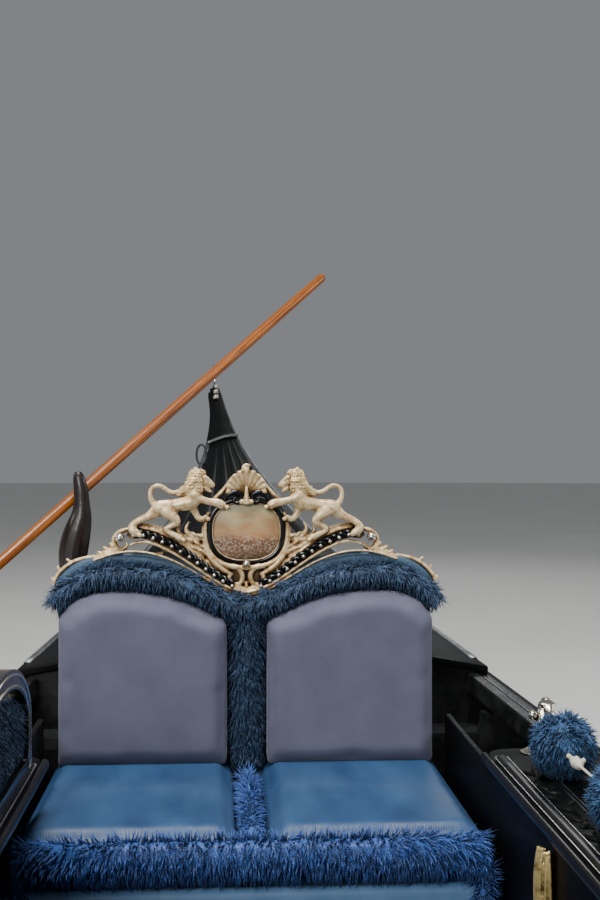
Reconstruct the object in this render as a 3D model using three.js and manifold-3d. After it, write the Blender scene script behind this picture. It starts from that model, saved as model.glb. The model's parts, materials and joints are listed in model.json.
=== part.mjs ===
// A Venetian rowing gondola afloat, in millimetres: +X to the bow, +Y to port, +Z up.
// The origin is amidships on the waterline. The hull is a long banana in plan: its two
// ends stand a little to starboard of its middle, as on every boat of this type.

import * as THREE from 'three';
import { mergeVertices } from 'three/addons/utils/BufferGeometryUtils.js';
import Module from 'manifold-3d';

const wasm = await Module();
wasm.setup();

// Clearance between neighbouring pieces, and between long pieces that follow a twisted side.
const GAP = 0.4;
const TWIST_GAP = 0.9;
const DECK_GAP = 0.9;

// Hull lines, each a power curve from amidships (u = 0) to the plank ends (u = 1).
const HALF_LENGTH = 5200;
const STATION_STEP = 200;
const DRAFT = 220;
const KEEL_RISE = { fore: 1190, aft: 1355 };
const KEEL_POWER = 3.2;
const SHEER_HEIGHT = 430;
const SHEER_RISE = { fore: 785, aft: 960 };
const SHEER_POWER = 3;
const BEAM_HALF = 660;
const BEAM_HALF_AT_END = 40;
const BEAM_POWERS = { fore: [2.2, 1.25], aft: [2.6, 2.08] };
const BOTTOM_HALF = 440;
const BOTTOM_HALF_AT_END = 14;
const CENTRE_AMIDSHIPS = 30;
const CENTRE_BEND = 150;
const CENTRE_POWER = { fore: 2, aft: 5 };
// Knuckles of a side in section: part of the height, part of the flare.
const SIDE_KNUCKLES = [
  { height: 0, flare: 0 },
  { height: 0.3, flare: 0.46 },
  { height: 0.65, flare: 0.84 },
  { height: 1, flare: 1 },
];

// Planking and structure.
const SIDE_PLANK = 20;
const BOTTOM_PLANK = 20;
const AFT_DECK_FRONT = -1400;
const FORE_DECK_BACK = 2200;
const FRAME_WIDTH = 44;
const FRAME_KNEE = 35;
const FRAME_FLOOR = 50;
const FRAME_STEP = 400;
const FRAME_HEAD_BELOW_SHEER = 56;
const KEELSON_HALF = 60;
const KEELSON_HEIGHT = 25;
const FLOORBOARD = 15;
const FLOOR_LENGTHS = [
  { name: 'aft', from: -1360, to: -200 },
  { name: 'mid', from: -196, to: 996 },
  { name: 'fore', from: 1000, to: 2160 },
];
const RAIL_HEIGHT = 45;
const RAIL_WIDTH = 28;
const RUB_RAIL_WIDTH = 25;
const DECK = 16;
const DECK_OVERHANG = 6;
const DECK_CAMBER = { fore: 55, aft: 95 };
const BULKHEAD = 22;

// Cockpit fittings.
const SIDE_DECK_BACK = -520;
const SIDE_DECK_FRONT = 1150;
const SIDE_DECK = 24;
const SIDE_DECK_INNER = 425;
const SIDE_DECK_ROUND = 50;
const INNER_PANEL = 14;
const INNER_PANEL_FACE = 456;
const INNER_PANEL_BACK = -950;
const THWART_HEIGHT = 300;
const THWART = 28;
const THWARTS = [
  { name: 'aft', from: -1340, to: -1230 },
  { name: 'fore', from: 1426, to: 1574 },
];
const BRACKET = { at: -20, width: 44, depth: 34, bottom: 120 };
const SEAHORSE = { at: -480, fromCentre: 536, height: 118, thickness: 36 };
const POMPOM_RADIUS = 60;
const POMPOM_AT = [-300, 50, 400];
const GARLAND_RADIUS = 10;
const GARLAND_FROM_CENTRE = 522;

// Loveseat: its back board, pads, cushions and fur, and the carved crest on top.
const SEAT_BACK_AT = -985;
const SEAT_BACK_BOARD = 30;
const SEAT_BACK_HALF = 424;
const SEAT_BASE = { back: -950, front: -400, half: 355, top: 190 };
const SEAT_BOARD = { front: -370, half: 436, thickness: 24 };
const SEAT_HALF = 440;
const SEAT_CUSHION_FRONT = -370;
const SEAT_CUSHION_TOP = 338;
const SEAT_SEAM_HALF = 22;
const SEAT_FUR = { front: -326, top: 352, bottom: 262, leg: 60, legInner: 400 };
const APRON_FRONT = -345;
const BACK_PAD = 92;
const BACK_FUR = 112;
const BACK_FUR_HALF = 32;
const BACK_STRIP_HALF = 37;
const BACK_BOARD_ABOVE_FUR_LINE = 44;
// Middle of the fur band along the top of the back, from the middle outwards.
const BACK_LINE = [
  { y: 0, z: 680 },
  { y: 61, z: 706 },
  { y: 122, z: 736 },
  { y: 180, z: 754 },
  { y: 235, z: 763 },
  { y: 290, z: 766 },
  { y: 342, z: 763 },
  { y: 390, z: 745 },
  { y: 422, z: 706 },
];
const CREST_BOARD = 28;
const LION = 26;
const MEDALLION = { z: 856, halfWidth: 91, halfHeight: 80, rim: 13 };

// Side seat on the starboard side of the cockpit, ahead of the loveseat.
const SIDE_SEAT = { back: -240, front: 160, inner: -200, outer: -412, top: 150, cushion: 80 };
const SIDE_BACK = { at: -110, half: 270, shoulder: 560, top: 682, y: -400, thickness: 26, rim: 34 };

// Oar and forcola, the walnut crutch that it works in.
const FORCOLA = { x: -2025, y: -493, headRadius: 26, headTop: 975, shelf: 826, depth: 64 };
const FORCOLA_BLOCK = { back: -2110, front: -1990, outer: -556, inner: -462, top: 560 };
const OAR_CLEARANCE = 0.6;
const OAR_RADIUS = 18;
const OAR_TIP_RADIUS = 15;
const OAR_FULCRUM_HEIGHT = 893.5;
const OAR_DIRECTION = new THREE.Vector3(0.527, -0.615, -0.586).normalize();
const OAR_INBOARD = 1380;
const OAR_OUTBOARD = 1720;
const BLADE_LENGTH = 1100;
const BLADE_THICKNESS = 18;
const BLADE_HALF = 66;

// Mat and foot wedge of the oarsman on the after deck.
const DECK_MAT = { from: -3000, to: -2400, half: 170, thickness: 7 };
const FOOT_WEDGE = { xs: [-2750, -2600, -2490], y0: -350, y1: -270, height: 55 };

const FINISH = {
  blackLacquer: { color: 0x0b0c0e, roughness: 0.16, metalness: 0 },
  blackPaint: { color: 0x141416, roughness: 0.42, metalness: 0 },
  bareWood: { color: 0x6d4a2c, roughness: 0.6, metalness: 0 },
  floorWood: { color: 0x3a2417, roughness: 0.55, metalness: 0 },
  walnut: { color: 0x2a1a12, roughness: 0.35, metalness: 0 },
  oarWood: { color: 0xb8661f, roughness: 0.3, metalness: 0 },
  steel: { color: 0xc4c8cc, roughness: 0.22, metalness: 1 },
  brass: { color: 0xd9c79a, roughness: 0.24, metalness: 1 },
  carvedCream: { color: 0xe5d6b4, roughness: 0.45, metalness: 0.1 },
  gilt: { color: 0xb08a45, roughness: 0.35, metalness: 0.9 },
  painted: { color: 0xb99a72, roughness: 0.6, metalness: 0 },
  greyVelvet: { color: 0x74788a, roughness: 0.9, metalness: 0 },
  seatSatin: { color: 0x5b7ea6, roughness: 0.6, metalness: 0 },
  navyFur: { color: 0x1f3a5f, roughness: 0.95, metalness: 0 },
  royalFur: { color: 0x1d4a94, roughness: 0.95, metalness: 0 },
  navyVelvet: { color: 0x16243a, roughness: 0.9, metalness: 0 },
};

const PORT = 1;
const STARBOARD = -1;
const SIDES = [
  { name: 'port', side: PORT },
  { name: 'starboard', side: STARBOARD },
];

const boat = new THREE.Group();

function add(name, geometry, finish, parent = boat) {
  const mesh = new THREE.Mesh(geometry, new THREE.MeshStandardMaterial(FINISH[finish]));
  mesh.name = name;
  parent.add(mesh);
  return mesh;
}

// Geometry tools.

function alongHull(x) {
  return Math.abs(x) / HALF_LENGTH;
}

function endOf(x) {
  return x < 0 ? 'aft' : 'fore';
}

function keelAt(x) {
  return -DRAFT + KEEL_RISE[endOf(x)] * alongHull(x) ** KEEL_POWER;
}

function sheerAt(x) {
  return SHEER_HEIGHT + SHEER_RISE[endOf(x)] * alongHull(x) ** SHEER_POWER;
}

function centreAt(x) {
  return CENTRE_AMIDSHIPS - CENTRE_BEND * alongHull(x) ** CENTRE_POWER[endOf(x)];
}

function bottomHalfAt(x) {
  const fullness = (1 - alongHull(x) ** 2) ** 1.8;
  return BOTTOM_HALF_AT_END + (BOTTOM_HALF - BOTTOM_HALF_AT_END) * fullness;
}

function beamHalfAt(x) {
  const [inner, outer] = BEAM_POWERS[endOf(x)];
  const fullness = (1 - alongHull(x) ** inner) ** outer;
  return BEAM_HALF_AT_END + (BEAM_HALF - BEAM_HALF_AT_END) * fullness;
}

function knuckleHeights(x) {
  const keel = keelAt(x);
  return SIDE_KNUCKLES.map(({ height }) => keel + height * (sheerAt(x) - keel));
}

// Half width of the hull's outside at a height, less an inset measured athwartships.
function halfWidth(x, z, inset = 0) {
  const part = (z - keelAt(x)) / (sheerAt(x) - keelAt(x));
  const upper = Math.max(1, SIDE_KNUCKLES.findIndex(({ height }) => height >= part - 1e-9));
  const above = part > 1 ? SIDE_KNUCKLES.at(-1) : SIDE_KNUCKLES[upper];
  const below = part > 1 ? SIDE_KNUCKLES.at(-2) : SIDE_KNUCKLES[upper - 1];
  const mix = (part - below.height) / (above.height - below.height);
  const flare = below.flare + mix * (above.flare - below.flare);
  const outside = bottomHalfAt(x) + flare * (beamHalfAt(x) - bottomHalfAt(x));
  return Math.max(outside - inset, 1);
}

// Height at which the hull, less an inset, is a given half width wide.
function heightAtHalfWidth(x, width, inset) {
  let low = keelAt(x);
  let high = sheerAt(x);
  for (let step = 0; step < 40; step++) {
    const middle = (low + high) / 2;
    if (halfWidth(x, middle, inset) < width) low = middle;
    else high = middle;
  }
  return high;
}

// Stations from one end to the other, on the hull's own grid in between.
function stations(from, to) {
  const list = [from];
  const first = Math.floor(from / STATION_STEP) + 1;
  for (let i = first; i * STATION_STEP < to - 1; i++) {
    if (i * STATION_STEP > from + 1) list.push(i * STATION_STEP);
  }
  list.push(to);
  return list;
}

// A closed body through rings of [y, z] points at rising x.
function loftAlongX(xs, ringAt) {
  const rings = xs.map((x) => ringAt(x));
  const count = rings[0].length;
  const positions = rings.flatMap((ring, s) => ring.flatMap(([y, z]) => [xs[s], y, z]));
  const contour = rings[0].map(([y, z]) => new THREE.Vector2(y, z));
  const outward = THREE.ShapeUtils.area(contour) > 0;
  const triangles = [];
  for (let s = 0; s + 1 < xs.length; s++) {
    for (let i = 0; i < count; i++) {
      const a = s * count + i;
      const b = s * count + (i + 1) % count;
      triangles.push([a, b, b + count], [a, b + count, a + count]);
    }
  }
  for (const end of [0, xs.length - 1]) {
    const face = rings[end].map(([y, z]) => new THREE.Vector2(y, z));
    for (const triangle of THREE.ShapeUtils.triangulateShape(face, [])) {
      const turned = THREE.ShapeUtils.area(triangle.map((i) => face[i])) > 0;
      const corners = turned === outward ? triangle : [...triangle].reverse();
      const facing = end === 0 ? [...corners].reverse() : corners;
      triangles.push(facing.map((i) => i + end * count));
    }
  }
  const index = triangles.flatMap((triangle) => (outward ? triangle : [...triangle].reverse()));
  const geometry = new THREE.BufferGeometry();
  geometry.setAttribute('position', new THREE.Float32BufferAttribute(positions, 3));
  geometry.setIndex(index);
  geometry.computeVertexNormals();
  return geometry;
}

function shapeOf(points) {
  return new THREE.Shape(points.map(([a, b]) => new THREE.Vector2(a, b)));
}

function extrude(shape, depth, options = {}) {
  return new THREE.ExtrudeGeometry(shape, { depth, bevelEnabled: false, ...options });
}

// An outline in [y, z] made thick along +X, its back face at x = from.
function plateAcross(shape, from, thickness, options = {}) {
  const geometry = extrude(shape, thickness, options);
  geometry.applyMatrix4(new THREE.Matrix4().set(
    0, 0, 1, from,
    1, 0, 0, 0,
    0, 1, 0, 0,
    0, 0, 0, 1,
  ));
  return geometry;
}

// An outline in [x, z] made thick along Y, centred on y = middle.
function plateAlong(shape, middle, thickness, options = {}) {
  const geometry = extrude(shape, thickness, options);
  geometry.applyMatrix4(new THREE.Matrix4().set(
    1, 0, 0, 0,
    0, 0, -1, middle + thickness / 2,
    0, 1, 0, 0,
    0, 0, 0, 1,
  ));
  return geometry;
}

function boxBetween(x0, x1, y0, y1, z0, z1) {
  const geometry = new THREE.BoxGeometry(x1 - x0, y1 - y0, z1 - z0);
  return geometry.translate((x0 + x1) / 2, (y0 + y1) / 2, (z0 + z1) / 2);
}

function solidOf(geometry) {
  const bare = geometry.clone();
  bare.deleteAttribute('normal');
  bare.deleteAttribute('uv');
  const merged = mergeVertices(bare, 1e-3);
  return new wasm.Manifold(new wasm.Mesh({
    numProp: 3,
    vertProperties: new Float32Array(merged.attributes.position.array),
    triVerts: new Uint32Array(merged.index.array),
  }));
}

function geometryOf(solid) {
  const mesh = solid.getMesh();
  const geometry = new THREE.BufferGeometry();
  geometry.setAttribute('position', new THREE.BufferAttribute(mesh.vertProperties, 3));
  geometry.setIndex(new THREE.BufferAttribute(mesh.triVerts, 1));
  geometry.computeVertexNormals();
  return geometry;
}

function joined(geometries) {
  return geometryOf(geometries.map(solidOf).reduce((whole, piece) => whole.add(piece)));
}

// A mirrored plate has its faces turned in: put them right.
function turnFaces(geometry) {
  const { array } = geometry.attributes.position;
  for (let i = 0; i < array.length; i += 9) {
    for (let k = 0; k < 3; k++) {
      [array[i + 3 + k], array[i + 6 + k]] = [array[i + 6 + k], array[i + 3 + k]];
    }
  }
}

// Hull planking.

function bottomRing(x) {
  const low = keelAt(x);
  const high = low + BOTTOM_PLANK;
  const centre = centreAt(x);
  return [
    [centre - halfWidth(x, low), low],
    [centre + halfWidth(x, low), low],
    [centre + halfWidth(x, high), high],
    [centre - halfWidth(x, high), high],
  ];
}

function sideRing(x, side) {
  const levels = knuckleHeights(x);
  levels[0] = keelAt(x) + BOTTOM_PLANK + GAP;
  const centre = centreAt(x);
  const outer = levels.map((z) => [centre + side * halfWidth(x, z), z]);
  const inner = levels.map((z) => [centre + side * halfWidth(x, z, SIDE_PLANK), z]);
  return [...outer, ...inner.reverse()];
}

const HULL_LENGTHS = [
  { name: 'aft', from: -HALF_LENGTH, to: -GAP },
  { name: 'fore', from: 0, to: HALF_LENGTH },
];

function buildPlanking() {
  add('bottom_planks', loftAlongX(stations(-HALF_LENGTH, HALF_LENGTH), bottomRing), 'blackPaint');
  for (const { name, from, to } of HULL_LENGTHS) {
    for (const { name: sideName, side } of SIDES) {
      const planks = loftAlongX(stations(from, to), (x) => sideRing(x, side));
      add(`side_planks_${sideName}_${name}`, planks, 'blackLacquer');
    }
  }
}

function rubRailRing(x, side) {
  const top = sheerAt(x);
  const low = top - RAIL_HEIGHT;
  const centre = centreAt(x);
  const at = (z, out) => [centre + side * (halfWidth(x, z) + TWIST_GAP + out), z];
  return [at(low, 0), at(low + 8, RUB_RAIL_WIDTH), at(top - 8, RUB_RAIL_WIDTH), at(top, 0)];
}

function innerRailRing(x, side) {
  const top = sheerAt(x);
  const low = top - RAIL_HEIGHT;
  const centre = centreAt(x);
  const at = (z, inset) => [centre + side * halfWidth(x, z, SIDE_PLANK + TWIST_GAP + inset), z];
  return [at(low, 0), at(top, 0), at(top, RAIL_WIDTH), at(low, RAIL_WIDTH)];
}

function buildRails() {
  for (const { name, side } of SIDES) {
    const whole = stations(-HALF_LENGTH, HALF_LENGTH);
    add(`rub_rail_${name}`, loftAlongX(whole, (x) => rubRailRing(x, side)), 'blackLacquer');
    const cockpit = stations(AFT_DECK_FRONT + GAP, FORE_DECK_BACK - GAP);
    add(`inner_rail_${name}`, loftAlongX(cockpit, (x) => innerRailRing(x, side)), 'blackPaint');
  }
}

// Frames: a floor timber and two knees in one piece, all carried by the keelson.

function frameRing(x) {
  const floor = keelAt(x) + BOTTOM_PLANK + GAP;
  const head = sheerAt(x) - FRAME_HEAD_BELOW_SHEER;
  const knuckles = knuckleHeights(x).slice(1, 3);
  const outside = SIDE_PLANK + GAP;
  const inside = outside + FRAME_KNEE;
  const outer = [floor, ...knuckles, head].map((z) => [halfWidth(x, z, outside), z]);
  const inner = [head, ...knuckles.reverse(), floor + FRAME_FLOOR].map((z) => [halfWidth(x, z, inside), z]);
  const half = [...outer, ...inner];
  const centre = centreAt(x);
  const port = half.map(([w, z]) => [centre + w, z]);
  const starboard = half.map(([w, z]) => [centre - w, z]).reverse();
  return [...port, ...starboard];
}

function keelsonRing(x) {
  const low = keelAt(x) + BOTTOM_PLANK + GAP;
  const centre = centreAt(x);
  return [
    [centre - KEELSON_HALF, low],
    [centre + KEELSON_HALF, low],
    [centre + KEELSON_HALF, low + KEELSON_HEIGHT],
    [centre - KEELSON_HALF, low + KEELSON_HEIGHT],
  ];
}

function buildFrames() {
  const pieces = [loftAlongX(stations(AFT_DECK_FRONT + 40, FORE_DECK_BACK - 40), keelsonRing)];
  for (let x = AFT_DECK_FRONT + STATION_STEP; x < FORE_DECK_BACK; x += FRAME_STEP) {
    pieces.push(loftAlongX([x - FRAME_WIDTH / 2, x, x + FRAME_WIDTH / 2], frameRing));
  }
  add('frames_and_keelson', joined(pieces), 'blackPaint');
}

function floorUnderside(x) {
  return keelAt(x) + BOTTOM_PLANK + FRAME_FLOOR + 2 * GAP;
}

function floorTop(x) {
  return floorUnderside(x) + FLOORBOARD;
}

function floorRing(x) {
  const low = floorUnderside(x);
  const high = floorTop(x);
  const half = halfWidth(x, low, SIDE_PLANK + FRAME_KNEE + 8);
  const centre = centreAt(x);
  return [[centre - half, low], [centre + half, low], [centre + half, high], [centre - half, high]];
}

function buildFloor() {
  for (const { name, from, to } of FLOOR_LENGTHS) {
    add(`floorboards_${name}`, loftAlongX(stations(from, to), floorRing), 'floorWood');
  }
}

// Decks: each a cambered board over the plank edges, from one side to the other.

function camberAt(x) {
  return DECK_CAMBER[endOf(x)] * beamHalfAt(x) / BEAM_HALF;
}

const CAMBER_POINTS = [
  { across: -1, rise: 0 },
  { across: -0.5, rise: 0.66 },
  { across: 0, rise: 1 },
  { across: 0.5, rise: 0.66 },
  { across: 1, rise: 0 },
];

function deckLine(x, height, inset = 0) {
  const half = beamHalfAt(x) + DECK_OVERHANG - inset;
  return CAMBER_POINTS.map(({ across, rise }) => (
    [centreAt(x) + across * half, sheerAt(x) + GAP + height + rise * camberAt(x)]
  ));
}

function deckRing(x) {
  return [...deckLine(x, 0), ...deckLine(x, DECK).reverse()];
}

// Height of a deck's top at a place, on the flats between the hull's stations.
function deckTop(x, y) {
  const before = Math.floor(x / STATION_STEP) * STATION_STEP;
  const mix = (x - before) / STATION_STEP;
  const start = deckLine(before, DECK);
  const end = deckLine(before + STATION_STEP, DECK);
  const line = start.map(([lineY, z], i) => (
    [lineY + mix * (end[i][0] - lineY), z + mix * (end[i][1] - z)]
  ));
  const next = Math.max(1, line.findIndex(([lineY]) => lineY >= y));
  const [y0, z0] = line[next - 1];
  const [y1, z1] = line[next];
  return z0 + (z1 - z0) * (y - y0) / (y1 - y0);
}

function bulkheadRing(x) {
  const floor = keelAt(x) + BOTTOM_PLANK + GAP;
  const levels = [floor, ...knuckleHeights(x).slice(1)];
  const centre = centreAt(x);
  const inset = SIDE_PLANK + TWIST_GAP;
  const port = levels.map((z) => [centre + halfWidth(x, z, inset), z]);
  const starboard = levels.map((z) => [centre - halfWidth(x, z, inset), z]).reverse();
  const under = deckLine(x, -GAP).slice(1, 4).reverse();
  return [...port, ...under, ...starboard];
}

function buildDecks() {
  const aft = stations(-HALF_LENGTH, AFT_DECK_FRONT);
  const fore = stations(FORE_DECK_BACK, HALF_LENGTH);
  add('aft_deck', loftAlongX(aft, deckRing), 'blackLacquer');
  add('fore_deck', loftAlongX(fore, deckRing), 'blackLacquer');
  const aftBulkhead = [AFT_DECK_FRONT - 40, AFT_DECK_FRONT - 40 + BULKHEAD];
  const foreBulkhead = [FORE_DECK_BACK + 18, FORE_DECK_BACK + 18 + BULKHEAD];
  add('aft_bulkhead', loftAlongX(aftBulkhead, bulkheadRing), 'blackPaint');
  add('fore_bulkhead', loftAlongX(foreBulkhead, bulkheadRing), 'blackPaint');
}

// Bow and stern posts and their irons, in the vertical plane of each end.

const END_Y = centreAt(HALF_LENGTH);
const POST_FACE = HALF_LENGTH + GAP;
const POST_DEPTH = 42;
const POST_HEEL = 40;
const POST_THICKNESS = 34;
const IRON = 14;
const TOOTH_TOP = 1400;
const TOOTH_STEP = 54;
const TOOTH_HEIGHT = 40;
const TEETH = 6;

function postTop(toEnd) {
  return sheerAt(toEnd * HALF_LENGTH) + DECK + 20;
}

function postShape(toEnd) {
  const keel = keelAt(toEnd * HALF_LENGTH);
  const top = postTop(toEnd);
  const shape = new THREE.Shape();
  shape.moveTo(toEnd * POST_FACE, keel);
  shape.lineTo(toEnd * (POST_FACE + POST_DEPTH), keel + POST_HEEL);
  shape.lineTo(toEnd * (POST_FACE + POST_DEPTH), top);
  shape.lineTo(toEnd * POST_FACE, top);
  return shape;
}

// The keel's underside near an end, as points of the iron's tail.
function keelTail(toEnd, offset) {
  return [4600, 4800, 5000, HALF_LENGTH].map((x) => [x, keelAt(toEnd * x) - offset]);
}

function bowIronShape() {
  const back = POST_FACE + POST_DEPTH + GAP;
  const keel = keelAt(HALF_LENGTH);
  const top = postTop(1);
  const points = [
    ...keelTail(1, GAP),
    [POST_FACE, keel - 2 * GAP],
    [back, keel + POST_HEEL],
    [back, top + 2],
    [back - 110, top + 6],
    [back - 110, top + 38],
    [back + 6, top + 44],
    [back + 8, 1440],
    [back - 24, 1520],
    [back + 30, 1585],
    [back + 130, 1600],
    [back + 215, 1530],
    [back + 228, 1478],
    [back + 150, 1452],
    [back + 66, 1430],
  ];
  for (let tooth = 0; tooth < TEETH; tooth++) {
    const top = TOOTH_TOP - tooth * TOOTH_STEP;
    const reach = back + 175 - 7 * tooth;
    points.push([back + 66, top], [reach, top], [reach, top - TOOTH_HEIGHT], [back + 66, top - TOOTH_HEIGHT]);
  }
  points.push([back + 62, 1050], [back + 38, 985]);
  points.push(...keelTail(1, 58).reverse());
  return shapeOf(points);
}

function sternIronShape() {
  const back = POST_FACE + POST_DEPTH + GAP;
  const keel = keelAt(-HALF_LENGTH);
  const top = postTop(-1);
  const points = [
    [back, keel + POST_HEEL],
    [back, top + 8],
    [back - 34, top + 22],
    [back - 14, top + 66],
    [back + 42, top + 122],
    [back + 60, top + 112],
    [back + 38, top + 60],
    [back + 50, top - 20],
    [back + 44, top - 160],
    [back + 20, top - 290],
    ...keelTail(-1, 46).reverse(),
    ...keelTail(-1, GAP),
    [POST_FACE, keel - 2 * GAP],
  ];
  return shapeOf(points.map(([x, z]) => [-x, z]));
}

function buildEnds() {
  add('stem_post', plateAlong(postShape(1), END_Y, POST_THICKNESS), 'blackLacquer');
  add('stern_post', plateAlong(postShape(-1), END_Y, POST_THICKNESS), 'blackLacquer');
  add('bow_iron', plateAlong(bowIronShape(), END_Y, IRON), 'steel');
  add('stern_iron', plateAlong(sternIronShape(), END_Y, IRON), 'steel');
}

// Cockpit fittings.

// Inner edge of a side deck: straight along the hull, its after corner rounded.
function sideDeckInner(x) {
  const fromEnd = x - SIDE_DECK_BACK;
  if (fromEnd >= SIDE_DECK_ROUND) return SIDE_DECK_INNER;
  const left = SIDE_DECK_ROUND - fromEnd;
  return SIDE_DECK_INNER + SIDE_DECK_ROUND - Math.sqrt(SIDE_DECK_ROUND ** 2 - left ** 2);
}

function sideDeckTop(x) {
  return sheerAt(x) + GAP + SIDE_DECK;
}

function sideDeckRing(x, side) {
  const centre = centreAt(x);
  const inner = centre + side * sideDeckInner(x);
  const outer = centre + side * (beamHalfAt(x) + DECK_OVERHANG);
  const low = sheerAt(x) + GAP;
  return [[inner, low], [outer, low], [outer, low + SIDE_DECK], [inner, low + SIDE_DECK]];
}

function innerPanelRing(x, side) {
  const face = side * INNER_PANEL_FACE;
  const back = side * (INNER_PANEL_FACE + INNER_PANEL);
  const width = INNER_PANEL_FACE + INNER_PANEL - side * centreAt(x);
  const low = heightAtHalfWidth(x, width, SIDE_PLANK + FRAME_KNEE + 2 * GAP);
  return [[face, low], [back, low], [back, sheerAt(x)], [face, sheerAt(x)]];
}

function buildSideDecks() {
  const round = [0, 4, 14, 30].map((step) => SIDE_DECK_BACK + step);
  const xs = [...round, ...stations(SIDE_DECK_BACK + SIDE_DECK_ROUND, SIDE_DECK_FRONT)];
  for (const { name, side } of SIDES) {
    add(`side_deck_${name}`, loftAlongX(xs, (x) => sideDeckRing(x, side)), 'blackLacquer');
    const panel = stations(INNER_PANEL_BACK, SIDE_DECK_FRONT);
    add(`inner_panel_${name}`, loftAlongX(panel, (x) => innerPanelRing(x, side)), 'blackLacquer');
  }
}

function thwartRing(x) {
  const centre = centreAt(x);
  const inset = SIDE_PLANK + 2 * GAP;
  const low = halfWidth(x, THWART_HEIGHT, inset);
  const high = THWART_HEIGHT + THWART;
  return [
    [centre - low, THWART_HEIGHT],
    [centre + low, THWART_HEIGHT],
    [centre + low, high],
    [centre - low, high],
  ];
}

function buildThwarts() {
  for (const { name, from, to } of THWARTS) {
    add(`${name}_thwart`, loftAlongX([from, to], thwartRing), 'blackPaint');
  }
}

function bracketShape() {
  const { depth, bottom } = BRACKET;
  const top = SHEER_HEIGHT - 1;
  const shape = new THREE.Shape();
  shape.moveTo(0, bottom);
  shape.lineTo(8, bottom);
  shape.quadraticCurveTo(depth, bottom + 50, 20, bottom + 110);
  shape.quadraticCurveTo(10, bottom + 170, 24, top - 60);
  shape.lineTo(depth, top - 22);
  shape.lineTo(depth, top);
  shape.lineTo(0, top);
  return shape;
}

// A scroll like a rearing sea horse: a curled tail, an arched body and a bent head.
function seahorseShape() {
  const { height } = SEAHORSE;
  const shape = new THREE.Shape();
  shape.moveTo(-34, 0);
  shape.lineTo(34, 0);
  shape.lineTo(38, 14);
  shape.quadraticCurveTo(0, 30, 8, 62);
  shape.quadraticCurveTo(40, 80, 20, height - 26);
  shape.lineTo(42, height - 38);
  shape.lineTo(46, height - 24);
  shape.quadraticCurveTo(30, height + 4, 2, height);
  shape.quadraticCurveTo(-34, height - 30, -24, 70);
  shape.quadraticCurveTo(-44, 40, -40, 14);
  return shape;
}

function garland(side) {
  const y = centreAt(0) + side * GARLAND_FROM_CENTRE;
  const z = sideDeckTop(0) + POMPOM_RADIUS + 2 * GAP;
  const start = POMPOM_AT[0] - 110;
  const end = POMPOM_AT.at(-1) + 110;
  const cord = new THREE.CylinderGeometry(GARLAND_RADIUS, GARLAND_RADIUS, end - start, 8);
  cord.rotateZ(Math.PI / 2).translate((start + end) / 2, y, z);
  const balls = POMPOM_AT.map((x) => (
    new THREE.SphereGeometry(POMPOM_RADIUS, 12, 8).rotateX(Math.PI / 2).translate(x, y, z)
  ));
  return joined([cord, ...balls]);
}

function buildOrnaments() {
  for (const { name, side } of SIDES) {
    const bracket = plateAcross(bracketShape(), BRACKET.at - BRACKET.width / 2, BRACKET.width);
    bracket.applyMatrix4(new THREE.Matrix4().makeScale(1, -side, 1));
    if (side === PORT) turnFaces(bracket);
    bracket.translate(0, side * (INNER_PANEL_FACE - GAP), 0);
    add(`gilt_bracket_${name}`, bracket, 'gilt');

    const y = centreAt(SEAHORSE.at) + side * SEAHORSE.fromCentre;
    const horse = plateAlong(seahorseShape(), y, SEAHORSE.thickness);
    horse.translate(SEAHORSE.at, 0, sideDeckTop(SEAHORSE.at) + 2 * GAP);
    add(`seahorse_${name}`, horse, 'brass');
    add(`pompom_garland_${name}`, garland(side), 'royalFur');
  }
}

// Loveseat.

function backLine(above) {
  const port = BACK_LINE.map(({ y, z }) => [y, z + above]);
  const starboard = BACK_LINE.slice(1).map(({ y, z }) => [-y, z + above]).reverse();
  return [...starboard, ...port];
}

function buildLoveseatFrame() {
  const floor = floorTop(SEAT_BACK_AT) + 2 * GAP;
  const half = SEAT_BACK_HALF;
  const back = shapeOf([
    [-345, floor], [345, floor], [395, -20], [half, 100],
    ...backLine(BACK_BOARD_ABOVE_FUR_LINE).reverse(),
    [-half, 100], [-395, -20],
  ]);
  add('seat_back_board', plateAcross(back, SEAT_BACK_AT, SEAT_BACK_BOARD), 'greyVelvet');
  const { back: x0, front: x1, half: base, top } = SEAT_BASE;
  const boxRing = (x) => {
    const low = floorTop(x) + GAP;
    return [[-base, low], [base, low], [base, top], [-base, top]];
  };
  const box = loftAlongX(stations(x0, x1), boxRing);
  const board = boxBetween(x0, SEAT_BOARD.front, -SEAT_BOARD.half, SEAT_BOARD.half,
    top - 4, top + SEAT_BOARD.thickness);
  add('seat_base', joined([box, board]), 'blackLacquer');
}

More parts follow.
